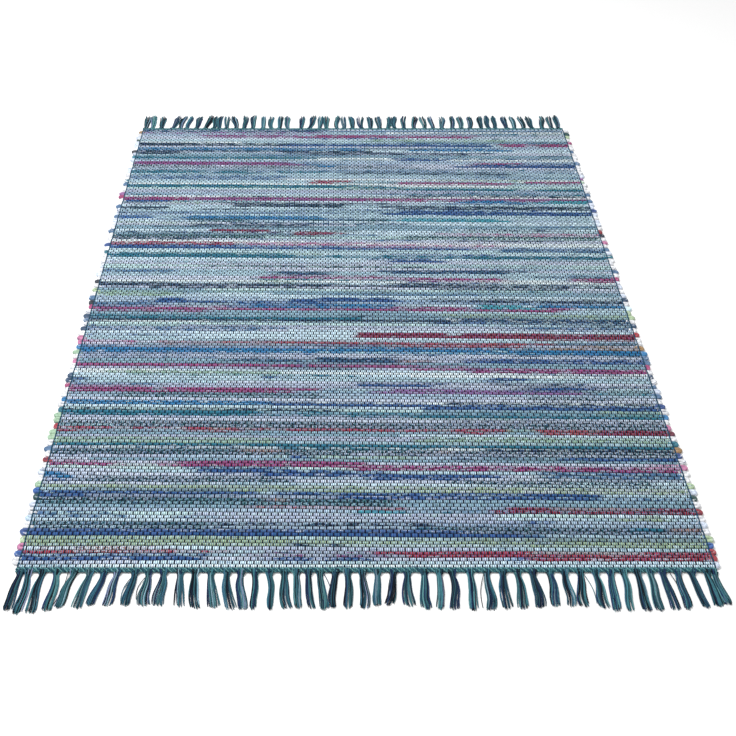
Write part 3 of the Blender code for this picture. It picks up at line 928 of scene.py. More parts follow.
def band_top(first):
    """Points of the upper side of the band that starts at pick number first: each pick is a
    rib, which rises from its valleys to its crown by RISE."""
    low = slice(first, first + PICKS_IN_BAND)
    high = slice(first + 1, first + PICKS_IN_BAND + 1)
    along = across_picks(VALLEYS[low], VALLEYS[high], ACROSS)
    foot = across_picks(VALLEY_HEIGHTS[low], VALLEY_HEIGHTS[high], ACROSS)
    rise = np.concatenate((np.tile(RISE[:-1], PICKS_IN_BAND), RISE[-1:]))[:, None]
    crown = np.concatenate((np.repeat(CROWNS[low], LINES_IN_PICK, axis=0),
                            CROWNS[first + PICKS_IN_BAND - 1][None]))
    height = foot + rise * (crown - foot)
    return np.stack((np.broadcast_to(COLUMN_X, along.shape), along, height), axis=-1)


# The underside's coarser grid: every UNDER_STEP columns, and three lines to a pick.
UNDER_STEP = 8
UNDER_ACROSS = np.array((0.0, 0.5, 1.0))

# How a band lies in the bake map: its upper side in strips, then the underside, then the walls.
# Each keeps a little in from the edges. In the weave map a pick keeps off its neighbours too.
STRIPS = 3
STRIP_COLUMNS = COLUMNS // STRIPS
STRIP_START = 0.004
STRIP_HEIGHT = 0.29
STRIP_PITCH = 0.30
UNDER_START = 0.915
UNDER_HEIGHT = 0.05
WALLS_START = 0.972
WALLS_PITCH = 0.007
WALL_SCALE = 0.6
FLAT_INSET = 0.003
PICK_INSET = 0.002


def inset(share, margin):
    """A share from 0 to 1, drawn in by margin at both ends."""
    return margin + (1 - 2 * margin) * share


def band_underside(first):
    """Points of the underside: a coarser grid with a shallow rib under each pick."""
    low = slice(first, first + PICKS_IN_BAND)
    high = slice(first + 1, first + PICKS_IN_BAND + 1)
    along = across_picks(VALLEYS[low, ::UNDER_STEP], VALLEYS[high, ::UNDER_STEP], UNDER_ACROSS)
    middle = (np.arange(len(along)) % 2 == 1)[:, None]
    height = np.where(middle, UNDER_CROWN, UNDER_VALLEY)
    return np.stack((np.broadcast_to(COLUMN_X[::UNDER_STEP], along.shape), along,
                     np.broadcast_to(height, along.shape)), axis=-1)


def corner_grid(lines, columns):
    """The line and the column of each corner of grid_faces, and those of its face."""
    line = np.arange(lines - 1)[:, None, None]
    column = np.arange(columns - 1)[None, :, None]
    down = np.array((0, 0, 1, 1))
    aside = np.array((0, 1, 1, 0))
    shape = (lines - 1, columns - 1, 4)
    face_line = np.broadcast_to(line, shape).reshape(-1)
    face_column = np.broadcast_to(column, shape).reshape(-1)
    corner_line = np.broadcast_to(line + down, shape).reshape(-1)
    corner_column = np.broadcast_to(column + aside, shape).reshape(-1)
    return corner_line, corner_column, face_line, face_column


def band_top_corners(first, lines):
    """What the corners of a band's upper side hold: pick, column, weave map and bake map."""
    line, column, face_line, face_column = corner_grid(lines, COLUMNS + 1)
    pick = face_line // LINES_IN_PICK
    share = ACROSS[line - pick * LINES_IN_PICK]
    weave = np.stack((column / COLUMNS_IN_UNIT, first + pick + inset(share, PICK_INSET)), axis=-1)
    strip = face_column // STRIP_COLUMNS
    flat_u = inset((column - strip * STRIP_COLUMNS) / STRIP_COLUMNS, FLAT_INSET)
    flat_v = STRIP_START + strip * STRIP_PITCH + STRIP_HEIGHT * (pick + share) / PICKS_IN_BAND
    return first + pick, column, weave, np.stack((flat_u, flat_v), axis=-1)


def band_under_corners(first, lines, columns):
    """The same for the underside, whose faces are turned over: the weave runs on from the top."""
    line, column, face_line, _ = corner_grid(lines, columns)
    pick = face_line // 2
    share = UNDER_ACROSS[line - pick * 2]
    weave = np.stack((column * UNDER_STEP / COLUMNS_IN_UNIT,
                      first + pick + 1 + inset(share, PICK_INSET)), axis=-1)
    flat = np.stack((inset(column / (columns - 1), FLAT_INSET),
                     UNDER_START + UNDER_HEIGHT * (pick + share) / PICKS_IN_BAND), axis=-1)
    order = np.arange(len(line)).reshape(-1, 4)[:, ::-1].reshape(-1)
    return (first + pick)[order], (column * UNDER_STEP)[order], weave[order], flat[order]


def make_band(number):
    """One band of the cloth, as wide as the rug and 20 picks deep, closed all round."""
    first = number * PICKS_IN_BAND
    top = band_top(first)
    under = band_underside(first)
    lines, columns = top.shape[:2]
    under_lines, under_columns = under.shape[:2]
    top_index = np.arange(lines * columns).reshape(lines, columns)
    start = lines * columns
    under_index = start + np.arange(under_lines * under_columns).reshape(under.shape[:2])
    walls = (
        stitch(top_index[0], under_index[0]),
        stitch(top_index[-1, ::-1], under_index[-1, ::-1]),
        stitch(top_index[::-1, 0], under_index[::-1, 0]),
        stitch(top_index[:, -1], under_index[:, -1]),
    )
    pick, column, weave, flat = band_top_corners(first, lines)
    held = [(pick, column, weave, flat)]
    held.append(band_under_corners(first, under_lines, under_columns))
    points = np.concatenate((top.reshape(-1, 3), under.reshape(-1, 3)))
    band_valleys = VALLEYS[first:first + PICKS_IN_BAND + 1]
    middle_y = 0.5 * (band_valleys[:-1] + band_valleys[1:])
    for row, wall in enumerate(walls):
        corner = wall.reshape(-1)
        x, y, z = points[corner].T
        column = np.clip(np.round((x + WIDTH / 2) / WIDTH * COLUMNS).astype(int), 0, COLUMNS)
        near = np.abs(middle_y[:, column] - y).argmin(axis=0)
        from_front = (y - FRONT_END) / CLOTH_LENGTH
        share = (x + WIDTH / 2) / WIDTH if row < 2 else from_front % (1 / BANDS) * BANDS
        weave = np.stack((column / COLUMNS_IN_UNIT, first + near + 0.5 + 0.4 * (z / CROWN - 0.5)),
                         axis=-1)
        flat = np.stack((inset(share, FLAT_INSET),
                         WALLS_START + WALLS_PITCH * row + WALL_SCALE * z), axis=-1)
        held.append((first + near, column, weave, flat))
    pick, column, weave, flat = (np.concatenate(part) for part in zip(*held))
    piece = add_mesh(
        f"cloth_{number + 1}", points,
        [grid_faces(lines, columns), grid_faces(under_lines, under_columns, start, False),
         np.concatenate(walls)],
        WEAVE_LOOK,
        {"weave": weave, "OFBake": flat},
        {"face": FACE[pick, column], "back": BACK[pick, column]},
        {"cover": COVER[pick, column], "fleck": FLECK[pick, column]},
    )
    crease = np.full(len(points), -1)
    line_number = np.arange(lines)
    valley_line = np.where(line_number % LINES_IN_PICK == 0, line_number, -1)
    crease[:start] = np.repeat(valley_line, columns)
    mark_creases(piece, crease)
    return piece


BAND_PIECES = [make_band(number) for number in range(BANDS)]
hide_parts("rug_body")


# ---------------------------------------------------------------- the turns of the weft

LOOP_REACH = 0.0125
LOOP_STRAY = 0.0035
TURN_STATIONS = 11
TURN_SIDES = 10
TURN_WIDE = 0.0050
TURN_HIGH = 0.0036

# The path of a turn: how much further out than the CAD's edge it stands, how square its bend
# is (lower is squarer), how far it goes on past the half turn and tucks into the cloth, how far
# it drops there, its height, and the scatter of its middle along the edge and up.
TURN_PROUD = 0.003
BEND_POWER = 0.62
TUCK_ANGLE = 0.55
TUCK_DEPTH = 0.017
TUCK_DROP = 0.16
TURN_HEIGHT = 0.0039
TURN_SAG = 0.0012
TURN_LIFT = (-0.0004, 0.0007)
TURN_OFF_FLOOR = 0.0002

# Its section: narrower and higher at the bend, with a scatter, and crinkled at every corner.
TURN_PINCH = 0.16
TURN_PINCH_SCATTER = 0.06
TURN_FLATTENED = 0.98
CRINKLE = 0.07

# Its colours: a turn takes a charted rag that lies within TURN_NEAR. RAG_IN_TURN of its face is
# that rag's own. The others have a duller face, and less of it shows.
TURN_NEAR = 0.0105
RAG_IN_TURN = 0.93
PALE_FACE = 0.80
CHARTED_COVER = 0.85
PALE_COVER = 0.35
LANE_STEP = 7.7


def stray(step, salt):
    """A repeatable scatter from -1 to 1: the broken-off part of a large sine."""
    value = np.sin(12.9898 * step + 78.233 * salt) * 43758.5453
    return 2 * (value - np.floor(value)) - 1


def loop_reach(turn, side):
    """How far each turn of the weft stands out, the same as the CAD's edge."""
    return LOOP_REACH + LOOP_STRAY * np.clip(1.3 * stray(turn, side), -1, 1)


# The turns of the weft that show a colour: (mm from the front, rag). The others are pale.
LEFT_TURNS = (
    (18, "navy"), (46, "royal"), (62, "pink"), (92, "lime"), (115, "navy"), (155, "grey"),
    (215, "forest"), (233, "royal"), (260, "sage"), (330, "crimson"), (372, "slate"),
    (422, "sage"), (450, "red"), (482, "sage"), (510, "teal"), (545, "blue"), (600, "magenta"),
    (635, "navyslate"), (700, "pink"), (740, "sage"), (768, "blue"), (793, "pink"),
    (845, "navyslate"), (885, "slate"), (905, "navyslate"), (945, "magenta"), (965, "ink"),
    (990, "slate"), (1016, "lime"), (1065, "ink"), (1100, "lilac"), (1145, "lilac"),
    (1212, "teal"), (1252, "navy"), (1330, "slate"), (1375, "lilac"), (1410, "slate"),
    (1440, "lilac"), (1478, "slate"), (1532, "magenta"), (1555, "purple"), (1612, "slate"),
    (1635, "teal"), (1700, "lilac"), (1760, "lilac"), (1802, "teal"), (1840, "ink"),
    (1905, "forest"), (1965, "ochre"), (1984, "slate"),
)
RIGHT_TURNS = (
    (5, "navy"), (45, "red"), (62, "royal"), (80, "lime"), (160, "lime"), (178, "crimson"),
    (217, "forest"), (240, "lime"), (300, "royal"), (316, "pink"), (350, "navy"), (370, "ochre"),
    (390, "teal"), (433, "maroon"), (450, "pink"), (488, "blue"), (520, "navy"), (555, "slate"),
    (592, "slate"), (630, "navyslate"), (666, "magenta"), (705, "slate"), (741, "blue"),
    (761, "ochre"), (809, "red"), (845, "navyslate"), (897, "lime"), (915, "lime"),
    (940, "ice"), (965, "navyslate"), (1000, "lilac"), (1076, "magenta"), (1110, "slate"),
    (1185, "teal"), (1230, "slate"), (1260, "pink"), (1300, "ink"), (1322, "crimson"),
    (1370, "lilac"), (1440, "navy"), (1475, "lilac"), (1510, "slate"), (1550, "slate"),
    (1625, "sage"), (1650, "purple"), (1740, "slate"), (1820, "slate"), (1886, "magenta"),
    (1938, "lime"), (1957, "forest"),
)
PALE_TURNS = ("chalk", "chalk", "chalk", "lilac")


def turn_colours(along, chart, seed):
    """(face, back, cover) of each turn: its charted rag, or else one of the pale ones."""
    places = np.array([row[0] for row in chart]) * MM - LENGTH / 2
    rags = np.array([RAG_FACES[row[1]] for row in chart])
    near = np.abs(places[None, :] - along[:, None])
    charted = (near.min(axis=1) < TURN_NEAR)[:, None]
    source = np.random.default_rng(seed)
    pale = np.array([RAG_FACES[name] for name in PALE_TURNS])
    back = pale[source.integers(0, len(pale), len(along))]
    rag = RAG_IN_TURN * rags[near.argmin(axis=1)] + (1 - RAG_IN_TURN) * back
    face = np.where(charted, rag, back * PALE_FACE)
    return face, back, np.where(charted, CHARTED_COVER, PALE_COVER)[:, 0]


def make_turns(name, side, first_picks, salt, chart):
    """The rag's turns along one selvedge: each leaves pick p, rounds the outer warp and comes
    back in pick p + 1. side is -1 on the left and 1 on the right. Seen from above a turn is
    half an oval: a sine of the angle along the edge, and a power of its cosine outward."""
    turns = len(first_picks)
    edge_column = 0 if side < 0 else COLUMNS
    edge = VALLEYS[:, edge_column]
    middle = 0.5 * (edge[1:] + edge[:-1])
    second_picks = np.minimum(first_picks + 1, PICKS - 1)
    front = middle[first_picks]
    back = middle[second_picks]
    number = (first_picks + 1) // 2
    reach = loop_reach(number, salt)
    angle = np.linspace(-1.0, 1.0, TURN_STATIONS) * (0.5 * math.pi + TUCK_ANGLE)
    swing = np.sin(np.clip(angle, -0.5 * math.pi, 0.5 * math.pi))
    inward = np.minimum(np.cos(angle), 0) * TUCK_DEPTH
    outward = np.maximum(np.cos(angle), 0)
    source = np.random.default_rng(40 + salt)
    sag = source.uniform(-TURN_SAG, TURN_SAG, (turns, 1))
    half = 0.5 * (back - front)[:, None]
    along = (0.5 * (front + back))[:, None] + half * swing + sag * outward
    middle_reach = (reach + TURN_PROUD - TURN_WIDE)[:, None]
    out = WIDTH / 2 + inward[None, :] + middle_reach * outward[None, :] ** BEND_POWER
    lift = source.uniform(*TURN_LIFT, (turns, 1)) * outward
    path = np.stack((side * out, along, TURN_HEIGHT + lift + TUCK_DROP * inward), axis=-1)
    travel = np.gradient(path, axis=1)
    travel /= np.linalg.norm(travel, axis=-1, keepdims=True)
    up = np.broadcast_to(np.array((0.0, 0.0, 1.0)), path.shape)
    across = np.cross(travel, up)
    across /= np.linalg.norm(across, axis=-1, keepdims=True)
    uneven = source.uniform(-TURN_PINCH_SCATTER, TURN_PINCH_SCATTER, (turns, 1))
    pinch = 1 - TURN_PINCH * outward[None, :] ** 3 + uneven
    ring = tube(path, across, up, TURN_WIDE * pinch, TURN_HIGH * (2 - pinch) * TURN_FLATTENED,
                TURN_SIDES)
    crinkle = 1 + CRINKLE * source.uniform(-1, 1, ring.shape[:3])[..., None]
    ring = path[:, :, None] + (ring - path[:, :, None]) * crinkle
    ring[..., 2] = np.maximum(ring[..., 2], TURN_OFF_FLOOR)
    tips = path[:, [0, -1]]
    points = np.concatenate((ring.reshape(-1, 3), tips.reshape(-1, 3)))
    lengths = np.linalg.norm(np.diff(path, axis=1), axis=-1).sum(axis=1)
    faces = tube_faces(turns, TURN_STATIONS, TURN_SIDES)
    maps = tube_maps(turns, TURN_STATIONS, TURN_SIDES, lengths)
    round_share, run = maps.pop("yarn").T
    turn_number = tube_corners(
        np.broadcast_to(number[:, None], (turns, TURN_STATIONS)).astype(float),
        turns, TURN_STATIONS, TURN_SIDES)
    folded = np.abs(2 * (round_share % 1.0) - 1)
    maps["weave"] = np.stack((run / (UNIT / MM) + LANE_STEP * turn_number,
                              turn_number * 2 + 0.02 + 0.9 * folded), axis=-1)
    face, back_face, cover = turn_colours(0.5 * (front + back), chart, 50 + salt)
    held = []
    for table in (face, back_face, cover[:, None]):
        spread = np.broadcast_to(table[:, None, :], (turns, TURN_STATIONS, table.shape[1]))
        held.append(tube_corners(spread, turns, TURN_STATIONS, TURN_SIDES))
    return add_mesh(name, points, faces, TURN_LOOK, maps,
                    {"face": held[0], "back": held[1]}, {"cover": held[2][:, 0]})


WEFT_TURNS = [
    make_turns("weft_turns_right", 1, np.arange(0, PICKS, 2), 2, RIGHT_TURNS),
    make_turns("weft_turns_left", -1, np.arange(1, PICKS - 1, 2), 1, LEFT_TURNS),
]


# ---------------------------------------------------------------- cords of plied cotton

YARNS = np.array((
    linear(50, 96, 106), linear(32, 70, 86), linear(48, 90, 110), linear(24, 44, 76),
    linear(8, 18, 32), linear(116, 146, 160), linear(110, 122, 150), linear(80, 126, 130),
))
YARN_SHARES = np.array((0.26, 0.20, 0.10, 0.14, 0.18, 0.03, 0.02, 0.07))
SELVEDGE_YARN = linear(20, 58, 78)
CORD_OFF_FLOOR = 0.0001
TIP_OUT = 0.6


def make_cords(name, paths, radii, strand_colours, material, sides):
    """Yarns of round section along paths (tubes, stations, 3), as one piece. radii are
    (tubes, stations) and strand_colours one colour a tube. Each end is a low cone, which
    stands out by TIP_OUT of the radius."""
    tubes, stations = paths.shape[:2]
    travel = np.gradient(paths, axis=1)
    travel /= np.maximum(np.linalg.norm(travel, axis=-1, keepdims=True), 1e-9)
    up = np.broadcast_to(np.array((0.0, 0.0, 1.0)), paths.shape)
    across = np.cross(travel, up)
    across /= np.maximum(np.linalg.norm(across, axis=-1, keepdims=True), 1e-9)
    normal = np.cross(across, travel)
    ring = tube(paths, across, normal, radii, radii, sides)
    ring[..., 2] = np.maximum(ring[..., 2], CORD_OFF_FLOOR)
    outward = travel[:, [0, -1]] * np.array((-1.0, 1.0))[:, None]
    tips = paths[:, [0, -1]] + TIP_OUT * radii[:, [0, -1], None] * outward
    tips[..., 2] = np.maximum(tips[..., 2], CORD_OFF_FLOOR)
    points = np.concatenate((ring.reshape(-1, 3), tips.reshape(-1, 3)))
    lengths = np.linalg.norm(np.diff(paths, axis=1), axis=-1).sum(axis=1)
    colours = np.broadcast_to(strand_colours[:, None, :], (tubes, stations, 3))
    return add_mesh(name, points, tube_faces(tubes, stations, sides), material,
                    tube_maps(tubes, stations, sides, lengths),
                    {"strand": tube_corners(colours, tubes, stations, sides)})


SELVEDGE_AT = 0.6994
SELVEDGE_RADIUS = 0.0016
SELVEDGE_HEIGHT = 0.0072
SELVEDGE_RIDE = 0.0006
SELVEDGE_WAVER = 0.0005
SELVEDGE_STEPS = 4


def make_selvedge(name, side):
    """The outer warp of one side: it rides up and down, a sine of half a turn a pick, and
    wavers to the side, a slower sine."""
    column = 0 if side < 0 else COLUMNS
    share = np.arange(PICKS * SELVEDGE_STEPS + 1) / SELVEDGE_STEPS
    pick = np.minimum(share.astype(int), PICKS - 1)
    edge = VALLEYS[:, column]
    along = edge[pick] + (share - pick) * (edge[pick + 1] - edge[pick])
    height = SELVEDGE_HEIGHT + SELVEDGE_RIDE * np.sin(share * math.pi)
    x = side * (SELVEDGE_AT + SELVEDGE_WAVER * np.sin(share * 0.9))
    paths = np.stack((x, along, height), axis=-1)[None]
    radii = np.full(paths.shape[:2], SELVEDGE_RADIUS)
    return make_cords(name, paths, radii, SELVEDGE_YARN[None], FRINGE_LOOK, 6)


OUTER_WARPS = [make_selvedge("selvedge_left", -1), make_selvedge("selvedge_right", 1)]

HEADING_OVERHANG = 0.0035
HEADING_TIP = 0.0015
HEADING_STEP = 0.0017
HEADING_LAY = 0.0230
HEADING_YARNS = (7, 0, 7, 1)
HEADING_STRANDS = len(HEADING_YARNS)
HEADING_STRAND_RADIUS = 0.0018
HEADING_WIND_WIDE = 0.0041
HEADING_WIND_HIGH = 0.0022
HEADING_DRIFT = 0.03
HEADING_WIND_SCATTER = 0.16
HEADING_RADIUS_SCATTER = 0.14


def make_heading(name, node, end):
    """A cord of four strands, each wound round the cord's own line: a helix whose section
    stays inside the CAD's heading. The lay drifts along the cord, by small steps added up."""
    low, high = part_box(node)
    centre_y = 0.5 * (low.y + high.y)
    centre_z = 0.5 * (low.z + high.z)
    half = WIDTH / 2 + HEADING_OVERHANG - HEADING_TIP
    along = np.arange(-half, half, HEADING_STEP)
    source = np.random.default_rng(60 + end)
    drift = np.cumsum(source.normal(0, HEADING_DRIFT, len(along)))
    paths = []
    for strand in range(HEADING_STRANDS):
        turn = 2 * math.pi * (along / HEADING_LAY + strand / HEADING_STRANDS) + drift
        uneven = scatter(len(along), 1, row_cell=5, column_cell=1, seed=62 + strand)[:, 0]
        wind = 1 + HEADING_WIND_SCATTER * uneven
        y = centre_y + HEADING_WIND_WIDE * wind * np.cos(turn)
        z = centre_z + HEADING_WIND_HIGH * wind * np.sin(turn)
        paths.append(np.stack((along, y, z), axis=-1))
    paths = np.array(paths)
    uneven = scatter(len(along), HEADING_STRANDS, row_cell=4, column_cell=1, seed=66).T
    radii = HEADING_STRAND_RADIUS * (1 + HEADING_RADIUS_SCATTER * uneven)
    piece = make_cords(name, paths, radii, YARNS[list(HEADING_YARNS)], HEADING_LOOK,
                       6)
    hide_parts(node)
    return piece


HEADING_FRONT = make_heading("heading_cord_front", "heading_front", -1)
HEADING_BACK = make_heading("heading_cord_back", "heading_back", 1)


# ---------------------------------------------------------------- the fringes

# One row a tassel, left to right, in mm from the middle of the end:
# (place at the heading, lean of the tip, spread at the tip, reach), the same as the CAD's.
FRONT_TASSELS = (
    (-692, -8, 15, 101), (-676, -4, 14, 110), (-648, -4, 18, 109), (-619, -2, 16, 104),
    (-585, -15, 16, 94), (-553, -11, 18, 96), (-525, -14, 15, 89), (-499, -9, 19, 89),
    (-463, -9, 16, 90), (-435, 1, 19, 90), (-405, -1, 24, 89), (-372, 7, 18, 91),
    (-343, 10, 21, 96), (-311, 13, 20, 94), (-279, 14, 19, 99), (-251, 9, 16, 99),
    (-223, 0, 10, 98), (-194, 5, 10, 98), (-164, 9, 19, 97), (-140, 7, 15, 95),
    (-116, 9, 13, 96), (-93, 8, 14, 99), (-63, -5, 12, 95), (-38, 0, 15, 95),
    (-8, 2, 16, 96), (22, -3, 14, 90), (53, -13, 16, 87), (82, 2, 18, 90),
    (115, 2, 18, 98), (145, -4, 12, 98), (171, -4, 16, 99), (207, -1, 15, 100),
    (240, -2, 16, 100), (272, 0, 21, 97), (302, 1, 17, 97), (332, 2, 17, 94),
    (367, -1, 16, 90), (396, 0, 19, 90), (427, -4, 17, 92), (458, 4, 19, 95),
    (488, -5, 14, 103), (514, -4, 13, 102), (542, 1, 15, 102), (567, 1, 15, 102),
    (592, 6, 16, 99), (622, 0, 14, 99), (650, 10, 11, 94), (680, 4, 15, 90),
    (695, 8, 14, 86),
)
BACK_TASSELS = (
    (-693, -5, 17, 104), (-672, -4, 16, 107), (-641, -5, 18, 102), (-603, 14, 15, 105),
    (-577, 11, 13, 102), (-556, 8, 12, 102), (-524, 9, 16, 100), (-494, 12, 15, 108),
    (-466, 2, 14, 104), (-449, 4, 13, 103), (-423, -4, 13, 104), (-391, -14, 16, 103),
    (-365, -1, 14, 106), (-335, 3, 15, 110), (-301, -2, 14, 103), (-273, -3, 13, 102),
    (-246, 3, 15, 106), (-218, -6, 15, 104), (-174, 4, 13, 102), (-146, 17, 14, 108),
    (-112, 6, 14, 104), (-89, 0, 14, 103), (-54, 6, 13, 106), (-29, -2, 14, 103),
    (-1, -8, 15, 101), (29, -2, 18, 101), (59, -6, 16, 100), (89, -2, 18, 102),
    (117, 9, 16, 101), (141, 3, 14, 102), (171, 6, 12, 104), (205, 6, 15, 103),
    (240, -6, 15, 101), (269, -7, 12, 102), (298, 3, 14, 100), (332, 5, 13, 105),
    (362, 2, 16, 103), (393, 2, 18, 102), (430, 6, 14, 104), (456, -2, 12, 108),
    (476, 3, 12, 106), (515, 0, 13, 102), (542, -5, 14, 101), (573, -5, 13, 102),
    (601, -8, 17, 103), (635, 7, 13, 104), (665, 4, 14, 103), (688, 3, 15, 110),
)

# A tassel's strands, and its outline: half its width at the root and at the neck, and how far
# down the neck lies. Of its strands, SHARE_OVER lap over the heading, by ROOT_OVER.
STRANDS = 16
STRAND_STATIONS = 11
STRAND_SIDES = 5
STRAND_RADIUS = 0.00125
NECK_DEPTH = 0.0090
ROOT_HALF = 0.0085
ROOT_OVER = 0.0040
SHARE_OVER = 0.3
NECK_HALF = 0.0050

# How the back fringe (1) differs from the front one (-1): its spread against the CAD's, how
# pointed its tassels are, and how far their strands part in two.
FRINGE_SPREAD = {-1: 1.14, 1: 1.25}
FRINGE_POINT = {-1: 0.07, 1: 0.20}
FRINGE_PARTING = {-1: 0.45, 1: 0.9}
PARTED = 0.35

# The scatter of the strands: rank, length, change of rank on the way down, bends (in mm), and
# the swing (in mm) and the cycles of their waves.
RANK_SCATTER = 0.05
LENGTH_SCATTER = 0.06
CROSSING = 0.25
BEND = 4.0
DOUBLE_BEND = 2.0
SWING = (0.1, 0.8)
CYCLES = (1.0, 2.6)

# Heights in a tassel: where its strands leave the heading and where they lap over it, how high
# they pile at the neck and at the tip, the lowest one, and how far their waves lift them.
ROOT_LOW = 0.0030
ROOT_HEIGHT = 0.0078
NECK_PILE = 0.0048
TIP_PILE = 0.0030
PILE_FOOT = 0.0010
WAVE_LIFT = 0.0006

# The strands' yarns: how often one is like its neighbour, their tips' taper, and the scatter
# of their radius and tone.
SAME_YARN = 0.15
TIP_TAPER = 0.7
RADIUS_SCATTER = (0.82, 1.1)
TONE_SCATTER = (0.5, 1.42)


def fringe_paths(rows, end, source):
    """The strands of each tassel: they leave the heading spread out, meet at a neck, swell
    into a belly and reach the tip, each with its own place, wave, height and length. A strand
    keeps its rank, from -1 to 1 across the tassel, times the tassel's half width at each
    depth, and the tassel's lean, bends and the strand's own wave are added to that."""
    tassels = len(rows)
    place, lean, spread, reach = (np.array(rows, float).T * MM)[:, :, None, None]
    spread = spread * FRINGE_SPREAD[end]
    shape = (tassels, STRANDS, 1)
    rank = (np.arange(STRANDS) + 0.5) / STRANDS * 2 - 1
    rank = rank[None, :, None] + source.uniform(-RANK_SCATTER, RANK_SCATTER, shape)
    shorter = LENGTH_SCATTER * source.random(shape) ** 1.6
    own_reach = reach * (1 - FRINGE_POINT[end] * np.abs(rank) ** 1.5 - shorter)
    share = np.linspace(0, 1, STRAND_STATIONS)[None, None, :] ** 1.15
    over = np.where(source.random(shape) < SHARE_OVER, ROOT_OVER, 0.0)
    depth = share * (own_reach + over) - over
    to_neck = eased(np.clip(depth / NECK_DEPTH, 0, 1))
    past_neck = np.clip((depth - NECK_DEPTH) / (reach - NECK_DEPTH), 0, 1)
    bend = source.uniform(-BEND, BEND, (tassels, 1, 1)) * MM * np.sin(math.pi * past_neck)
    twice = source.uniform(-DOUBLE_BEND, DOUBLE_BEND, (tassels, 1, 1)) * MM
    bend = bend + twice * np.sin(2 * math.pi * past_neck)
    order = source.permuted(np.broadcast_to(np.arange(STRANDS), (tassels, STRANDS)), axis=1)
    tip_rank = (order[..., None] + 0.5) / STRANDS * 2 - 1
    blend_rank = rank + CROSSING * (tip_rank - rank) * eased(past_neck)
    parting = source.uniform(0.0, FRINGE_PARTING[end], (tassels, 1, 1)) * past_neck
    blend_rank = blend_rank + PARTED * parting * np.sign(rank)
    width = ROOT_HALF + (NECK_HALF - ROOT_HALF) * to_neck
    opened = 1 - (1 - past_neck) ** 1.7
    width = width + (0.60 * spread - NECK_HALF) * opened * (depth > NECK_DEPTH)
    phase = source.uniform(0, 2 * math.pi, shape)
    cycles = source.uniform(*CYCLES, shape)
    swing = source.uniform(*SWING, shape) * MM
    wave = swing * past_neck * np.sin(phase + cycles * 2 * math.pi * past_neck)
    x = place + lean * past_neck ** 1.2 + width * blend_rank + wave + bend
    y = end * (LENGTH / 2 + GAP + depth)
    layer = source.random(shape) * (1 - 0.75 * blend_rank ** 2)
    pile = PILE_FOOT + NECK_PILE * layer
    flat = PILE_FOOT + TIP_PILE * layer
    root = np.where(over > 0, ROOT_HEIGHT, ROOT_LOW)
    height = root + (pile - root) * to_neck
    height = height + (flat - pile) * eased(past_neck)
    lift = WAVE_LIFT * np.abs(np.sin(phase + 7 * past_neck)) * past_neck
    height = np.maximum(height + lift, STRAND_RADIUS + 0.0002)
    paths = np.stack(np.broadcast_arrays(x, y, height), axis=-1)
    return paths.reshape(tassels * STRANDS, STRAND_STATIONS, 3)


def fringe_yarns(tassels, source):
    """(radii, colours) of all the strands: yarns drawn by YARN_SHARES, some the same as the
    strand beside them, each a little thinner at its tip and with a tone of its own."""
    count = tassels * STRANDS
    colour = source.choice(len(YARNS), (tassels, STRANDS), p=YARN_SHARES / YARN_SHARES.sum())
    for strand in range(1, STRANDS):
        same = source.random(tassels) < SAME_YARN
        colour[:, strand] = np.where(same, colour[:, strand - 1], colour[:, strand])
    colour = colour.ravel()
    taper = np.ones((1, STRAND_STATIONS))
    taper[:, -1] = TIP_TAPER
    radii = STRAND_RADIUS * taper * source.uniform(*RADIUS_SCATTER, (count, 1))
    tone = source.uniform(*TONE_SCATTER, (count, 1))
    return radii, YARNS[colour] * tone


def make_fringe(name, node, rows, end, seed):
    """All the tassels of one end as one piece, in the place of the CAD's comb."""
    source = np.random.default_rng(seed)
    paths = fringe_paths(rows, end, source)
    radii, colours = fringe_yarns(len(rows), source)
    piece = make_cords(name, paths, radii, colours, FRINGE_LOOK, STRAND_SIDES)
    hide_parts(node)
    return piece


FRINGE_FRONT = make_fringe("fringe_tassels_front", "fringe_front", FRONT_TASSELS, -1, 71)
FRINGE_BACK = make_fringe("fringe_tassels_back", "fringe_back", BACK_TASSELS, 1, 72)

# Loose ends that have slipped out of the front tassels, in mm:
# (place at the heading, place of the tip, bow to the side, reach, yarn).
LOOSE_ENDS = (
    (-458, -482, -9, 74, 4), (-452, -481, -12, 78, 5), (-430, -452, -10, 70, 4),
    (-402, -416, -5, 86, 1), (-596, -613, 4, 88, 4), (-88, -70, 7, 84, 3),
    (236, 224, -6, 92, 4), (430, 447, 6, 80, 0), (604, 618, 6, 96, 4),
)
LOOSE_RADIUS = 0.0008
LOOSE_STATIONS = 13
LOOSE_RISE = 0.0040


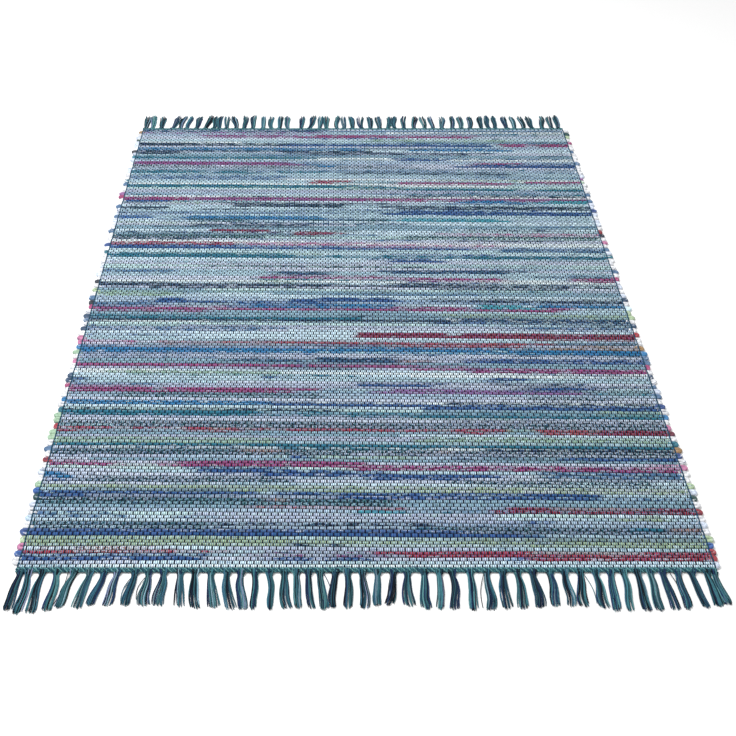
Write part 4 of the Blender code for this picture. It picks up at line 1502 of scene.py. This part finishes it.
def make_loose_ends():
    """Single yarns that leave the front heading and bow out to one side before they reach the
    floor: a straight line from root to tip plus half a sine to the side."""
    root, tip, bow, reach, yarn = (np.array(row)[:, None] for row in zip(*LOOSE_ENDS))
    share = np.linspace(0, 1, LOOSE_STATIONS)[None, :]
    x = (root + (tip - root) * share + bow * np.sin(math.pi * share)) * MM
    y = -(LENGTH / 2 + GAP) - reach * MM * share
    height = LOOSE_RADIUS + 0.0002 + LOOSE_RISE * (1 - share) ** 2
    paths = np.stack(np.broadcast_arrays(x, y, height), axis=-1)
    radii = np.full(paths.shape[:2], LOOSE_RADIUS)
    return make_cords("loose_ends_front", paths, radii, YARNS[yarn[:, 0]], FRINGE_LOOK,
                      5)


LOOSE_FRONT = make_loose_ends()


# ---------------------------------------------------------------- floor, light and camera

def make_stage():
    """A plain pale floor."""
    half = FLOOR_HALF
    mesh = bpy.data.meshes.new("floor")
    corners = [(-half, -half, 0), (half, -half, 0), (half, half, 0), (-half, half, 0)]
    mesh.from_pydata(corners, [], [(0, 1, 2, 3)])
    floor = bpy.data.objects.new("floor", mesh)
    bpy.context.scene.collection.objects.link(floor)
    material, shader, _ = new_material("floor", 0.9, 0.0)
    shader.inputs["Base Color"].default_value = (FLOOR_TONE, FLOOR_TONE, FLOOR_TONE, 1)
    mesh.materials.append(material)


def add_light(name, place, aim, size, power):
    """A soft square light at place, turned to aim."""
    light = bpy.data.lights.new(name, "AREA")
    light.size = size
    light.energy = power
    lamp = bpy.data.objects.new(name, light)
    lamp.location = place
    direction = mathutils.Vector(aim) - mathutils.Vector(place)
    lamp.rotation_euler = direction.to_track_quat("-Z", "Y").to_euler()
    bpy.context.scene.collection.objects.link(lamp)


def add_world(strength):
    """Even white light from all round."""
    world = bpy.data.worlds.new("studio")
    bpy.context.scene.world = world
    world.use_nodes = True
    background = world.node_tree.nodes["Background"]
    background.inputs["Color"].default_value = (1.0, 1.0, 1.0, 1)
    background.inputs["Strength"].default_value = strength


def add_camera():
    """The camera, level from side to side and tilted down by CAMERA_TILT degrees."""
    camera = bpy.data.cameras.new("camera")
    camera.lens = LENS
    camera.shift_x = LENS_SHIFT
    viewer = bpy.data.objects.new("camera", camera)
    viewer.location = (CAMERA_ASIDE, -LENGTH / 2 - CAMERA_AHEAD, CAMERA_HEIGHT)
    viewer.rotation_euler = (math.radians(90 - CAMERA_TILT), 0, 0)
    bpy.context.scene.collection.objects.link(viewer)
    bpy.context.scene.camera = viewer


make_stage()
add_world(WORLD_STRENGTH)
add_light("soft_light", LIGHT_PLACE, LIGHT_AIM, LIGHT_SIZE, LIGHT_POWER)
add_camera()
bpy.context.scene.view_settings.view_transform = "Standard"
